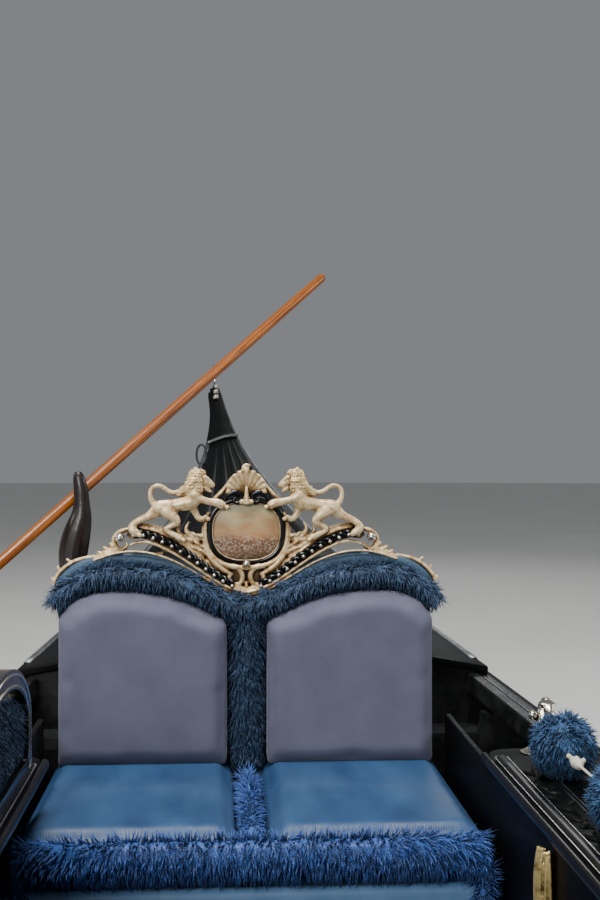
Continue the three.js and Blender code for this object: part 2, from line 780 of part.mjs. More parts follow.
function buildLoveseatCushions() {
  const bottom = SEAT_BASE.top + GAP + SEAT_BOARD.thickness;
  const back = SEAT_BACK_AT + SEAT_BACK_BOARD + GAP;
  for (const { name, side } of SIDES) {
    const near = side * (SEAT_SEAM_HALF + GAP);
    const far = side * SEAT_HALF;
    const [y0, y1] = [Math.min(near, far), Math.max(near, far)];
    const cushion = boxBetween(back, SEAT_CUSHION_FRONT, y0, y1, bottom, SEAT_CUSHION_TOP);
    add(`seat_cushion_${name}`, cushion, 'seatSatin');

    const edge = BACK_STRIP_HALF + GAP;
    const top = BACK_LINE.map(({ y, z }) => [y, z - BACK_FUR_HALF - 2 * GAP]);
    const rise = (top[1][1] - top[0][1]) / (top[1][0] - top[0][0]);
    const outline = [
      [edge, SEAT_CUSHION_TOP + GAP],
      [SEAT_BACK_HALF - 2, SEAT_CUSHION_TOP + GAP],
      ...top.slice(1).reverse(),
      [edge, top[0][1] + rise * edge],
    ];
    const pad = plateAcross(shapeOf(outline.map(([y, z]) => [side * y, z])), back, BACK_PAD);
    add(`back_pad_${name}`, pad, 'greyVelvet');
  }
  const legs = SEAT_FUR.legInner;
  const apron = shapeOf([
    [-345, -132], [345, -132], [legs, -40], [430, 100], [430, SEAT_FUR.bottom - GAP],
    [-430, SEAT_FUR.bottom - GAP], [-430, 100], [-legs, -40],
  ]);
  const apronBack = SEAT_BOARD.front + GAP;
  add('seat_apron', plateAcross(apron, apronBack, APRON_FRONT - apronBack), 'seatSatin');
}

function buildFur() {
  const back = SEAT_BACK_AT + SEAT_BACK_BOARD + GAP;
  const band = shapeOf([...backLine(BACK_FUR_HALF), ...backLine(-BACK_FUR_HALF).reverse()]);
  const strip = boxBetween(back, back + BACK_FUR, -BACK_STRIP_HALF, BACK_STRIP_HALF,
    SEAT_CUSHION_TOP + 10, BACK_LINE[0].z);
  add('back_fur', joined([plateAcross(band, back, BACK_FUR), strip]), 'navyFur');

  const { front, top, bottom, leg, legInner } = SEAT_FUR;
  const edge = boxBetween(SEAT_CUSHION_FRONT + GAP, front, -SEAT_HALF, SEAT_HALF, bottom, top);
  const seam = boxBetween(back + BACK_FUR + 4, SEAT_CUSHION_FRONT + 20,
    -SEAT_SEAM_HALF, SEAT_SEAM_HALF, bottom, SEAT_CUSHION_TOP + 8);
  const legs = SIDES.map(({ side }) => {
    const [y0, y1] = [side * legInner, side * SEAT_HALF].sort((a, b) => a - b);
    return boxBetween(APRON_FRONT + GAP, front, y0, y1, leg, bottom + 10);
  });
  add('seat_fur', joined([edge, seam, ...legs]), 'royalFur');
}

// Carved crest: pediment, medallion and shell in one plane, the lions in front of it.

// Points just outside the medallion frame's oval, between two angles in degrees.
function aroundMedallion(from, to) {
  const points = [];
  const step = Math.sign(to - from) * 10;
  for (let angle = from; angle !== to + step; angle += step) {
    const turn = THREE.MathUtils.degToRad(angle);
    const y = (MEDALLION.halfWidth + 2 * GAP) * Math.cos(turn);
    const z = MEDALLION.z + (MEDALLION.halfHeight + 2 * GAP) * Math.sin(turn);
    points.push([Math.abs(angle) === 90 ? 0 : y, z]);
  }
  return points;
}

function mirroredOutline(half) {
  return [...half, ...[...half].reverse().filter(([y]) => y !== 0).map(([y, z]) => [-y, z])];
}

function pedimentShape() {
  const bottom = BACK_LINE.slice(0, 7).map(({ y, z }) => [y, z + BACK_BOARD_ABOVE_FUR_LINE + GAP]);
  return shapeOf(mirroredOutline([
    ...bottom,
    [352, 816], [334, 826], [312, 834], [303, 850], [286, 862],
    [262, 857], [200, 862], [150, 850], [120, 842], [97, 852],
    ...aroundMedallion(-10, -90),
  ]));
}

function shellShape() {
  return shapeOf(mirroredOutline([
    ...aroundMedallion(90, 50),
    [72, 926], [52, 950], [46, 972], [34, 990], [18, 1001], [0, 1007],
  ]));
}

const LION_OUTLINE = [
  [70, 966], [81, 987], [101, 999], [121, 987], [142, 962], [156, 942], [195, 930],
  [215, 914], [235, 893], [256, 872], [264, 856], [244, 855], [236, 868], [220, 884],
  [196, 888], [188, 866], [184, 854], [166, 842], [138, 840], [140, 848], [158, 861],
  [146, 885], [121, 901], [113, 889], [101, 877], [89, 885], [93, 891], [105, 905],
  [93, 921], [64, 911], [48, 913], [46, 924], [64, 930], [97, 934], [105, 950], [89, 952],
];

function buildCrest() {
  add('crest_pediment', plateAcross(pedimentShape(), SEAT_BACK_AT, CREST_BOARD), 'carvedCream');
  add('crest_shell', plateAcross(shellShape(), SEAT_BACK_AT, CREST_BOARD), 'carvedCream');
  const { z, halfWidth: wide, halfHeight: high, rim } = MEDALLION;
  const frame = new THREE.Shape().absellipse(0, z, wide, high, 0, 2 * Math.PI);
  const hole = new THREE.Path().absellipse(0, z, wide - rim, high - rim, 0, 2 * Math.PI);
  frame.holes.push(hole);
  const round = { curveSegments: 32 };
  add('medallion_frame', plateAcross(frame, SEAT_BACK_AT, CREST_BOARD, round), 'blackLacquer');
  const inner = rim + GAP;
  const panel = new THREE.Shape().absellipse(0, z, wide - inner, high - inner, 0, 2 * Math.PI);
  add('medallion_panel', plateAcross(panel, SEAT_BACK_AT + 4, CREST_BOARD - 12, round), 'painted');
  for (const { name, side } of SIDES) {
    const outline = shapeOf(LION_OUTLINE.map(([y, height]) => [side * y, height]));
    const lion = plateAcross(outline, SEAT_BACK_AT + CREST_BOARD + GAP, LION);
    add(`crest_lion_${name}`, lion, 'carvedCream');
  }
}

// Side seat.

function buildSideSeat() {
  const { back, front, inner, outer, top, cushion } = SIDE_SEAT;
  const boxRing = (x) => {
    const low = floorTop(x) + GAP;
    return [[outer + 42, low], [inner, low], [inner, top], [outer, top], [outer, 40]];
  };
  add('side_seat_box', loftAlongX(stations(back, front), boxRing), 'blackLacquer');
  const pad = boxBetween(back, front, outer, inner, top + GAP, top + cushion);
  add('side_seat_cushion', pad, 'navyVelvet');

  const { at, half, shoulder, top: peak, y, thickness, rim } = SIDE_BACK;
  const foot = sideDeckTop(at - half) + GAP;
  const arch = new THREE.Shape();
  arch.moveTo(at - half, foot);
  arch.lineTo(at + half, foot);
  arch.lineTo(at + half, shoulder);
  arch.absellipse(at, shoulder, half, peak - shoulder, 0, Math.PI);
  const inside = new THREE.Shape();
  inside.moveTo(at - half + rim, foot + rim);
  inside.lineTo(at + half - rim, foot + rim);
  inside.lineTo(at + half - rim, shoulder);
  inside.absellipse(at, shoulder, half - rim, peak - shoulder - rim, 0, Math.PI);
  arch.holes.push(new THREE.Path(inside.getPoints(12)));
  const middle = y - thickness / 2;
  add('side_seat_back_frame', plateAlong(arch, middle, thickness), 'blackLacquer');
  const padShape = new THREE.Shape();
  const edge = rim + GAP;
  padShape.moveTo(at - half + edge, foot + edge);
  padShape.lineTo(at + half - edge, foot + edge);
  padShape.lineTo(at + half - edge, shoulder);
  padShape.absellipse(at, shoulder, half - edge, peak - shoulder - edge, 0, Math.PI);
  add('side_seat_back_pad', plateAlong(padShape, middle, thickness - 8), 'navyVelvet');
}

// After deck: mat and foot wedge of the oarsman, forcola on its block.

function onDeckRing(y0, y1, height) {
  return (x) => {
    const low = (y) => deckTop(x, y) + DECK_GAP;
    return [[y0, low(y0)], [y1, low(y1)], [y1, low(y1) + height], [y0, low(y0) + height]];
  };
}

function buildAfterDeck() {
  const mat = loftAlongX(stations(DECK_MAT.from, DECK_MAT.to), (x) => {
    const centre = centreAt(x);
    const ys = [centre - DECK_MAT.half, centre, centre + DECK_MAT.half];
    const low = ys.map((y) => [y, deckTop(x, y) + DECK_GAP]);
    return [...low, ...low.map(([y, z]) => [y, z + DECK_MAT.thickness]).reverse()];
  });
  add('deck_mat', mat, 'navyVelvet');
  const { xs, y0, y1, height } = FOOT_WEDGE;
  add('foot_wedge', loftAlongX(xs, onDeckRing(y0, y1, height)), 'bareWood');

  const { back, front, outer, inner, top } = FORCOLA_BLOCK;
  const block = loftAlongX(stations(back, front), (x) => (
    [[outer, deckTop(x, outer) + DECK_GAP], [inner, deckTop(x, inner) + DECK_GAP], [inner, top], [outer, top]]
  ));
  add('forcola_block', block, 'walnut');

  const foot = top + GAP;
  const body = shapeOf([
    [-540, foot], [-480, foot], [-470, 620], [-478, 690], [-474, 750], [-462, 800],
    [-460, FORCOLA.shelf], [-519, FORCOLA.shelf], [-530, 790], [-552, 750], [-566, 700], [-562, 640],
  ]);
  const head = new THREE.LatheGeometry([
    new THREE.Vector2(0, FORCOLA.shelf + GAP),
    new THREE.Vector2(FORCOLA.headRadius, FORCOLA.shelf + GAP),
    new THREE.Vector2(FORCOLA.headRadius, FORCOLA.headTop - 30),
    new THREE.Vector2(FORCOLA.headRadius - 10, FORCOLA.headTop - 6),
    new THREE.Vector2(0, FORCOLA.headTop),
  ], 16);
  head.rotateX(Math.PI / 2).translate(FORCOLA.x, FORCOLA.y, 0);
  add('forcola_leg', plateAcross(body, FORCOLA.x - FORCOLA.depth / 2, FORCOLA.depth), 'walnut');
  add('forcola_head', head, 'walnut');
}

// Oar, tangent to the forcola's round head, in a group whose Z runs down the shaft.

function buildOar() {
  const plan = new THREE.Vector3(OAR_DIRECTION.x, OAR_DIRECTION.y, 0).normalize();
  const reach = FORCOLA.headRadius + OAR_RADIUS + OAR_CLEARANCE;
  const oar = new THREE.Group();
  oar.position.set(FORCOLA.x + plan.y * reach, FORCOLA.y - plan.x * reach, OAR_FULCRUM_HEIGHT);
  const up = new THREE.Vector3(0, 0, 1);
  const wide = up.clone().addScaledVector(OAR_DIRECTION, -up.dot(OAR_DIRECTION)).normalize();
  const flat = OAR_DIRECTION.clone().cross(wide);
  oar.quaternion.setFromRotationMatrix(new THREE.Matrix4().makeBasis(wide, flat, OAR_DIRECTION));
  boat.add(oar);

  const shaft = new THREE.LatheGeometry([
    new THREE.Vector2(0, -OAR_INBOARD),
    new THREE.Vector2(OAR_RADIUS - 7, -OAR_INBOARD),
    new THREE.Vector2(OAR_RADIUS - 2, -OAR_INBOARD + 12),
    new THREE.Vector2(OAR_RADIUS, -OAR_INBOARD + 300),
    new THREE.Vector2(OAR_RADIUS, 200),
    new THREE.Vector2(OAR_TIP_RADIUS, OAR_OUTBOARD),
    new THREE.Vector2(0, OAR_OUTBOARD),
  ], 16);
  shaft.rotateX(Math.PI / 2);

  const blade = new THREE.Shape();
  blade.moveTo(-OAR_TIP_RADIUS + 2, -60);
  blade.lineTo(-OAR_TIP_RADIUS, 0);
  blade.quadraticCurveTo(-50, 260, -BLADE_HALF, BLADE_LENGTH);
  blade.lineTo(BLADE_HALF, BLADE_LENGTH);
  blade.quadraticCurveTo(50, 260, OAR_TIP_RADIUS, 0);
  blade.lineTo(OAR_TIP_RADIUS - 2, -60);
  const bladeBody = extrude(blade, BLADE_THICKNESS, { curveSegments: 6 });
  bladeBody.translate(0, 0, -BLADE_THICKNESS / 2).rotateX(Math.PI / 2);
  bladeBody.translate(0, 0, OAR_OUTBOARD);
  add('oar', joined([shaft, bladeBody]), 'oarWood', oar);
}

buildPlanking();
buildRails();
buildFrames();
buildFloor();
buildDecks();
buildEnds();
buildSideDecks();
buildThwarts();
buildOrnaments();
buildLoveseatFrame();
buildLoveseatCushions();
buildFur();
buildCrest();
buildSideSeat();
buildAfterDeck();
buildOar();

export default boat;
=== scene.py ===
"""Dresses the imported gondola: its finishes, upholstery, fur trim, carving, mouldings and irons.

Everything is in metres in the part's own frame: +X to the bow, +Y to port, +Z up, and the
water at z = 0. The floor of the picture lies at the waterline, with a hole for the hull.
"""

import json
import logging
import math
import random
from collections.abc import Callable, Iterable, Sequence
from dataclasses import dataclass
from enum import Enum

import bmesh
import bpy
from mathutils import Matrix, Vector


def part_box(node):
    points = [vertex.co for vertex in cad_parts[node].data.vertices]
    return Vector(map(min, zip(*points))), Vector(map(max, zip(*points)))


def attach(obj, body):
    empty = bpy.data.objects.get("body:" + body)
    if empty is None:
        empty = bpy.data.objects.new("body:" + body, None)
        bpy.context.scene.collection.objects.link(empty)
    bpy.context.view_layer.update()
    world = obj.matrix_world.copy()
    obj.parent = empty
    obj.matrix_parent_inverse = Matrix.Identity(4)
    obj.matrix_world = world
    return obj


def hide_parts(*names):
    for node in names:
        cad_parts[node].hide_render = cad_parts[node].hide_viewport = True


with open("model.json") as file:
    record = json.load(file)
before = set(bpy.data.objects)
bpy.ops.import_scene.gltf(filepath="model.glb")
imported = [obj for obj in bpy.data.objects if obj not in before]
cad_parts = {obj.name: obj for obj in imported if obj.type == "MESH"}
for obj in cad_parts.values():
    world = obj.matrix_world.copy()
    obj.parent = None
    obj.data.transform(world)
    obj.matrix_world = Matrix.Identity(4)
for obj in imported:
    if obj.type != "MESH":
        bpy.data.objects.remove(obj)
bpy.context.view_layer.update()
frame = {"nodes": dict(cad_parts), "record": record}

log = logging.getLogger("gondola")

Point = tuple[float, float, float]
Row = Sequence[float]
Socket = bpy.types.NodeSocket
Mesh = bmesh.types.BMesh
MM = 0.001
# Where most of a noise's values lie, for a Map Range node.
MIDDLE = {"From Min": 0.3, "From Max": 0.7}
# Angle in degrees over which an edge stays crisp on a piece with flat faces.
CRISP = 38


class Side(Enum):
    """The two sides of the boat, with the sign of Y on each."""

    PORT = 1
    STARBOARD = -1

    @property
    def word(self) -> str:
        """The side's name as the nodes spell it."""
        return self.name.lower()


class Axis(Enum):
    """A direction that a grain, a brushing or a nap runs in."""

    ALONG = 0
    ACROSS = 1
    UP = 2


# Node trees and finishes.


def linear(hex_colour: str) -> tuple[float, float, float, float]:
    """Turns an sRGB hex colour into linear light.

    Args:
        hex_colour: six hex digits after a hash sign.

    Returns:
        Red, green, blue and an alpha of one.
    """
    parts = [int(hex_colour[i : i + 2], 16) / 255 for i in (1, 3, 5)]
    light = [p / 12.92 if p <= 0.04045 else ((p + 0.055) / 1.055) ** 2.4 for p in parts]
    return (*light, 1.0)


def add_node(tree: bpy.types.NodeTree, kind: str,
             values: dict[str | int, object] | None = None) -> bpy.types.Node:
    """Adds a node with its settings and links.

    Args:
        tree: the node tree that gets the node.
        kind: the node's type name.
        values: for a property's name, or an input's name or number, its value or what feeds it. A
            hex colour stands for a colour, and stops are a ramp's pairs of place and hex colour.

    Returns:
        The new node.
    """
    node = tree.nodes.new(kind)
    for key, value in (values or {}).items():
        if isinstance(value, Socket):
            tree.links.new(value, node.inputs[key])
        elif key == "stops":
            band = node.color_ramp.elements
            while len(band) < len(value):
                band.new(0.5)
            for element, (at, colour) in zip(band, value):
                element.position = at
                element.color = linear(colour)
        elif isinstance(key, str) and hasattr(node, key):
            setattr(node, key, value)
        else:
            node.inputs[key].default_value = linear(value) if isinstance(value, str) else value
    return node


class Surface:
    """A material under construction: its tree, its shader and the place that its patterns read."""

    def __init__(self, name: str, shader: dict[str, object]) -> None:
        """Starts a material.

        Args:
            name: the material's name.
            shader: constant values for the principled shader's inputs.
        """
        self.material = bpy.data.materials.new(name)
        self.material.use_nodes = True
        self.tree = self.material.node_tree
        self.shader = self.tree.nodes["Principled BSDF"]
        for key, value in shader.items():
            self.shader.inputs[key].default_value = value
        self.place = self.add("TexCoord", {}, "Object")

    def add(self, kind: str, values: dict[str | int, object], output: int | str = 0) -> Socket:
        """Adds a shader node, its kind without the first word of its type, and gives an output."""
        return add_node(self.tree, "ShaderNode" + kind, values).outputs[output]

    def finished(self, feeds: dict[str, Socket]) -> bpy.types.Material:
        """Links outputs to the shader's inputs.

        Args:
            feeds: an output for the name of each input that varies over the surface.

        Returns:
            The material.
        """
        for key, output in feeds.items():
            self.tree.links.new(output, self.shader.inputs[key])
        return self.material


@dataclass(frozen=True)
class Finish:
    """A finish of the boat: its material's name and the record's slot that it belongs to."""

    name: str
    slot: str

    def make(self) -> bpy.types.Material:
        """Builds the material, which each kind of finish does in its own way."""
        raise NotImplementedError

    @property
    def material(self) -> bpy.types.Material:
        """The finished material, built once."""
        return bpy.data.materials.get(self.name) or self.make()


@dataclass(frozen=True)
class Lacquer(Finish):
    """Many coats of brushed and polished gloss enamel on wood: deep black with soft long ripples."""

    colour: str = "#060708"
    dust: str = "#101114"
    roughness: float = 0.17
    ripple: float = 0.0003
    shine: float = 0.5

    def make(self) -> bpy.types.Material:
        """Builds the material.

        Returns:
            The material.
        """
        skin = Surface(self.name, {"Coat Weight": self.shine * 0.5, "Coat Roughness": 0.1, "IOR": 1.45,
                                   "Specular IOR Level": self.shine})
        smears = skin.add("TexNoise", {"Scale": 7, "Detail": 4, "Vector": skin.place})
        tint = skin.add("ValToRGB", {"Fac": smears, "stops": ((0.35, self.colour), (0.8, self.dust))})
        gloss = skin.add("MapRange", {"Value": smears, "From Min": 0.4, "From Max": 0.75,
                                      "To Min": self.roughness, "To Max": self.roughness + 0.16})
        ripples = skin.add("TexNoise", {"Scale": 9, "Detail": 2, "Vector": skin.place})
        normal = skin.add("Bump", {"Distance": self.ripple, "Strength": 0.6, "Height": ripples})
        return skin.finished({"Base Color": tint, "Roughness": gloss, "Normal": normal})


@dataclass(frozen=True)
class Paint(Finish):
    """Black boat paint on structure inside the hull: satin, scuffed grey where feet and gear rub."""

    colour: str = "#08090a"
    scuff: str = "#191a1b"

    def make(self) -> bpy.types.Material:
        """Builds the material.

        Returns:
            The material.
        """
        skin = Surface(self.name, {"IOR": 1.5})
        scuffs = skin.add("TexNoise", {"Scale": 18, "Detail": 6, "Roughness": 0.65, "Vector": skin.place})
        tint = skin.add("ValToRGB", {"Fac": scuffs, "stops": ((0.45, self.colour), (0.78, self.scuff))})
        gloss = skin.add("MapRange", {"Value": scuffs, **MIDDLE, "To Min": 0.32, "To Max": 0.6})
        brushed = skin.add("TexNoise", {"Scale": 60, "Detail": 3, "Vector": skin.place})
        normal = skin.add("Bump", {"Distance": 0.0004, "Strength": 0.5, "Height": brushed})
        return skin.finished({"Base Color": tint, "Roughness": gloss, "Normal": normal})


@dataclass(frozen=True)
class Wood(Finish):
    """Planed wood with long grain under oil or varnish."""

    dark: str = "#4a2e1b"
    light: str = "#7a5233"
    grain: Axis = Axis.ALONG
    rings: float = 22.0
    roughness: float = 0.45
    varnish: float = 0.0
    turn: Point = (0.0, 0.0, 0.0)

    def make(self) -> bpy.types.Material:
        """Builds the material.

        Returns:
            The material.
        """
        skin = Surface(self.name, {"Coat Weight": self.varnish, "Coat Roughness": 0.12})
        scale = [1.0, 1.0, 1.0]
        scale[self.grain.value] = 0.06
        laid = skin.add("Mapping", {"Rotation": self.turn, "Vector": skin.place})
        place = skin.add("Mapping", {"Scale": scale, "Vector": laid})
        across = "Y" if self.grain is Axis.ALONG else "X"
        rings = skin.add("TexWave", {"bands_direction": across, "Scale": self.rings, "Distortion": 9,
                                     "Detail": 2, "Detail Scale": 1.5, "Vector": place}, "Fac")
        fibres = skin.add("TexNoise", {"Scale": 420, "Detail": 4, "Vector": place})
        fine = skin.add("Math", {"operation": "MULTIPLY", 0: fibres, 1: 0.45})
        broad = skin.add("Math", {"operation": "MULTIPLY", 0: rings, 1: 0.55})
        tone = skin.add("Math", {"operation": "ADD", 0: fine, 1: broad})
        grain = skin.add("ValToRGB", {"Fac": tone, "stops": ((0.15, self.dark), (0.85, self.light))})
        cloud = skin.add("TexNoise", {"Scale": 3.5, "Detail": 3, "Vector": skin.place})
        patches = skin.add("MapRange", {"Value": cloud, **MIDDLE, "To Max": 0.35})
        tint = skin.add("Mix", {"data_type": "RGBA", 0: patches, 6: grain, 7: self.dark}, 2)
        gloss = skin.add("MapRange", {"Value": fibres, **MIDDLE,
                                      "To Min": self.roughness - 0.08, "To Max": self.roughness + 0.12})
        normal = skin.add("Bump", {"Distance": 0.0005, "Strength": 0.5, "Height": tone})
        return skin.finished({"Base Color": tint, "Roughness": gloss, "Normal": normal})


@dataclass(frozen=True)
class Metal(Finish):
    """Worked metal: brushed or burnished, with a tarnish that stays in the hollows."""

    colour: str = "#c9cdd2"
    tarnish: str = "#6c6f73"
    roughness: float = 0.24
    brushing: Axis = Axis.UP
    hollow: float = 0.012

    def make(self) -> bpy.types.Material:
        """Builds the material.

        Returns:
            The material.
        """
        skin = Surface(self.name, {"Metallic": 1.0})
        scale = [260.0, 260.0, 260.0]
        scale[self.brushing.value] = 9.0
        brushing = skin.add("Mapping", {"Scale": scale, "Vector": skin.place})
        strokes = skin.add("TexNoise", {"Scale": 1, "Detail": 3, "Vector": brushing})
        depth = skin.add("AmbientOcclusion", {"samples": 4, "Distance": self.hollow}, "AO")
        deep = skin.add("MapRange", {"Value": depth, "From Min": 0.35, "From Max": 0.95,
                                     "To Min": 1.0, "To Max": 0.0})
        cloud = skin.add("TexNoise", {"Scale": 24, "Detail": 4, "Vector": skin.place})
        stain = skin.add("MapRange", {"Value": cloud, **MIDDLE, "To Min": 0.1, "To Max": 0.5})
        faint = skin.add("Math", {"operation": "MULTIPLY", 0: stain, 1: 0.8})
        share = skin.add("Math", {"operation": "MAXIMUM", 0: deep, 1: faint})
        tint = skin.add("Mix", {"data_type": "RGBA", 0: share, 6: self.colour, 7: self.tarnish}, 2)
        gloss = skin.add("MapRange", {"Value": strokes, **MIDDLE,
                                      "To Min": self.roughness - 0.06, "To Max": self.roughness + 0.14})
        normal = skin.add("Bump", {"Distance": 0.0002, "Strength": 0.35, "Height": strokes})
        return skin.finished({"Base Color": tint, "Roughness": gloss, "Normal": normal})


@dataclass(frozen=True)
class Carving(Finish):
    """Carved wood, gessoed and leafed: pale where it lies open, then gold and near black as ambient occlusion
    deepens in its recesses, which is painted shade standing in part for a gilder's glaze, and lighter or
    darker in random rubbed patches.
    """

    # Colours in the open, in half shade and in the deepest shade (the cut colour); reach is how far the
    # ambient occlusion looks. The gold and the near black are painted shade.
    light: str = "#f0d8a8"
    half_shade_gold: str = "#a9742e"
    cut: str = "#0d0703"
    metal: float = 0.25
    roughness: float = 0.28
    reach: float = 0.018

    def make(self) -> bpy.types.Material:
        """Builds the material.

        Returns:
            The material.
        """
        skin = Surface(self.name, {"Metallic": self.metal})
        wear = skin.add("TexNoise", {"Scale": 75, "Detail": 5, "Roughness": 0.62, "Vector": skin.place})
        # Ambient occlusion plus random wear picks the colour: painted shade in the recesses, partly a
        # gilder's glaze, near black in the deepest cuts.
        depth = skin.add("AmbientOcclusion", {"samples": 4, "Distance": self.reach}, "AO")
        rubbed = skin.add("MapRange", {"Value": wear, **MIDDLE, "To Min": -0.25, "To Max": 0.12})
        painted_shade_fac = skin.add("Math", {"operation": "ADD", 0: depth, 1: rubbed})
        stops = ((0.44, self.cut), (0.74, self.half_shade_gold), (0.96, self.light))
        tint = skin.add("ValToRGB", {"Fac": painted_shade_fac, "stops": stops})
        gloss = skin.add("MapRange", {"Value": wear, "From Min": 0.35, "From Max": 0.65,
                                      "To Min": self.roughness + 0.15, "To Max": self.roughness})
        grit = skin.add("TexNoise", {"Scale": 260, "Detail": 3, "Vector": skin.place})
        normal = skin.add("Bump", {"Distance": 0.0006, "Strength": 0.5, "Height": grit})
        return skin.finished({"Base Color": tint, "Roughness": gloss, "Normal": normal})


@dataclass(frozen=True)
class Velvet(Finish):
    """Cotton velvet: a short dense pile, dark face on and pale where it turns away, and darker in its shallow
    dents, partly the real tone of crushed pile and partly painted shade.
    """

    colour: str = "#6d6e80"
    shade: str = "#5a5b6c"
    sheen: str = "#c9cbdc"
    weight: float = 0.45

    def make(self) -> bpy.types.Material:
        """Builds the material.

        Returns:
            The material.
        """
        skin = Surface(self.name, {"Sheen Weight": self.weight, "Sheen Roughness": 0.32,
                                   "Sheen Tint": linear(self.sheen), "Specular IOR Level": 0.2,
                                   "Roughness": 0.85})
        crushed = skin.add("TexNoise", {"Scale": 11, "Detail": 5, "Roughness": 0.6, "Vector": skin.place})
        nap = skin.add("TexNoise", {"Scale": 900, "Detail": 2, "Vector": skin.place})
        # The tone follows the noise that dents the pile, darker in the dents: partly crushed pile, partly
        # painted shade.
        tone = skin.add("ValToRGB", {"Fac": crushed, "stops": ((0.2, self.shade), (0.8, self.colour))})
        dark = skin.add("MapRange", {"Value": nap, **MIDDLE, "To Max": 0.28})
        tint = skin.add("Mix", {"data_type": "RGBA", 0: dark, 6: tone, 7: self.shade}, 2)
        dents = skin.add("Bump", {"Distance": 0.0025, "Strength": 0.3, "Height": crushed})
        normal = skin.add("Bump", {"Distance": 0.0005, "Strength": 0.8, "Height": nap, "Normal": dents})
        return skin.finished({"Base Color": tint, "Normal": normal})


@dataclass(frozen=True)
class Satin(Finish):
    """Woven satin on the seat: a fine diagonal weave with a soft bright sheen, and painted shade that darkens
    its colour in the troughs of its bumped folds.
    """

    colour: str = "#496d90"
    shade: str = "#315279"

    def make(self) -> bpy.types.Material:
        """Builds the material.

        Returns:
            The material.
        """
        skin = Surface(self.name, {"Sheen Weight": 0.08, "Sheen Roughness": 0.25,
                                   "Sheen Tint": linear("#9db3cc"), "Specular IOR Level": 0.35,
                                   "Anisotropic": 0.5})
        # The thread is drawn at 1.6 mm, coarser than real satin, so that it shows at all.
        slant = skin.add("Mapping", {"Rotation": (0.6, 0.5, 0.7), "Vector": skin.place})
        threads = skin.add("TexWave", {"Scale": 200, "Vector": slant}, "Fac")
        wide = skin.add("Mapping", {"Scale": (1, 2.4, 1), "Vector": skin.place})
        folds = skin.add("TexNoise", {"Scale": 5, "Detail": 3, "Vector": wide})
        # The colour follows the fold noise that also bumps the cloth, darker in its troughs: painted shade.
        tone = skin.add("ValToRGB", {"Fac": folds, "stops": ((0.25, self.shade), (0.75, self.colour))})
        dark = skin.add("MapRange", {"Value": threads, "To Max": 0.16})
        tint = skin.add("Mix", {"data_type": "RGBA", 0: dark, 6: tone, 7: self.shade}, 2)
        gloss = skin.add("MapRange", {"Value": folds, **MIDDLE, "To Min": 0.38, "To Max": 0.5})
        dents = skin.add("Bump", {"Distance": 0.012, "Strength": 0.5, "Height": folds})
        normal = skin.add("Bump", {"Distance": 0.0003, "Strength": 0.5, "Height": threads, "Normal": dents})
        return skin.finished({"Base Color": tint, "Roughness": gloss, "Normal": normal})


@dataclass(frozen=True)
class FurPile(Finish):
    """Long soft pile: painted shade darkens it where the strands close each other in, random patches make it
    darker still, and painted highlights fleck single hairs pale.
    """

    # The colour deep in the painted shade among the strands, the colour in the open, and the pale colour of
    # the painted highlights.
    root: str = "#0d1930"
    tip: str = "#33537a"
    painted_glint: str = "#86a2c0"

    def make(self) -> bpy.types.Material:
        """Builds the material.

        Returns:
            The material.
        """
        skin = Surface(self.name, {"Sheen Weight": 0.25, "Sheen Roughness": 0.4,
                                   "Sheen Tint": linear("#9fbbe0"), "Specular IOR Level": 0.35,
                                   "Roughness": 0.5})
        locks = skin.add("TexNoise", {"Scale": 45, "Detail": 3, "Vector": skin.place})
        hairs = skin.add("TexNoise", {"Scale": 520, "Detail": 2, "Vector": skin.place})
        # Ambient occlusion darkens the pile among its strands: painted shade.
        depth = skin.add("AmbientOcclusion", {"samples": 4, "Distance": 0.03}, "AO")
        painted_shade_fac = skin.add("MapRange", {"Value": depth, "From Min": 0.25, "From Max": 0.9,
                                         "To Min": 0.05, "To Max": 1.05})
        # Random patches about two centimetres across, darker or paler.
        lock_patches = skin.add("MapRange", {"Value": locks, **MIDDLE, "To Min": 0.35, "To Max": 1.15})
        tone = skin.add("Math", {"operation": "MULTIPLY", 0: painted_shade_fac, 1: lock_patches})
        base = skin.add("ValToRGB", {"Fac": tone, "stops": ((0.08, self.root), (0.85, self.tip))})
        # Pale flecks from a fine noise: painted highlights on single hairs.
        painted_glint_share = skin.add("MapRange", {"Value": hairs, "From Min": 0.5, "From Max": 0.72, "To Max": 0.7})
        tint = skin.add("Mix", {"data_type": "RGBA", 0: painted_glint_share, 6: base, 7: self.painted_glint}, 2)
        return skin.finished({"Base Color": tint})


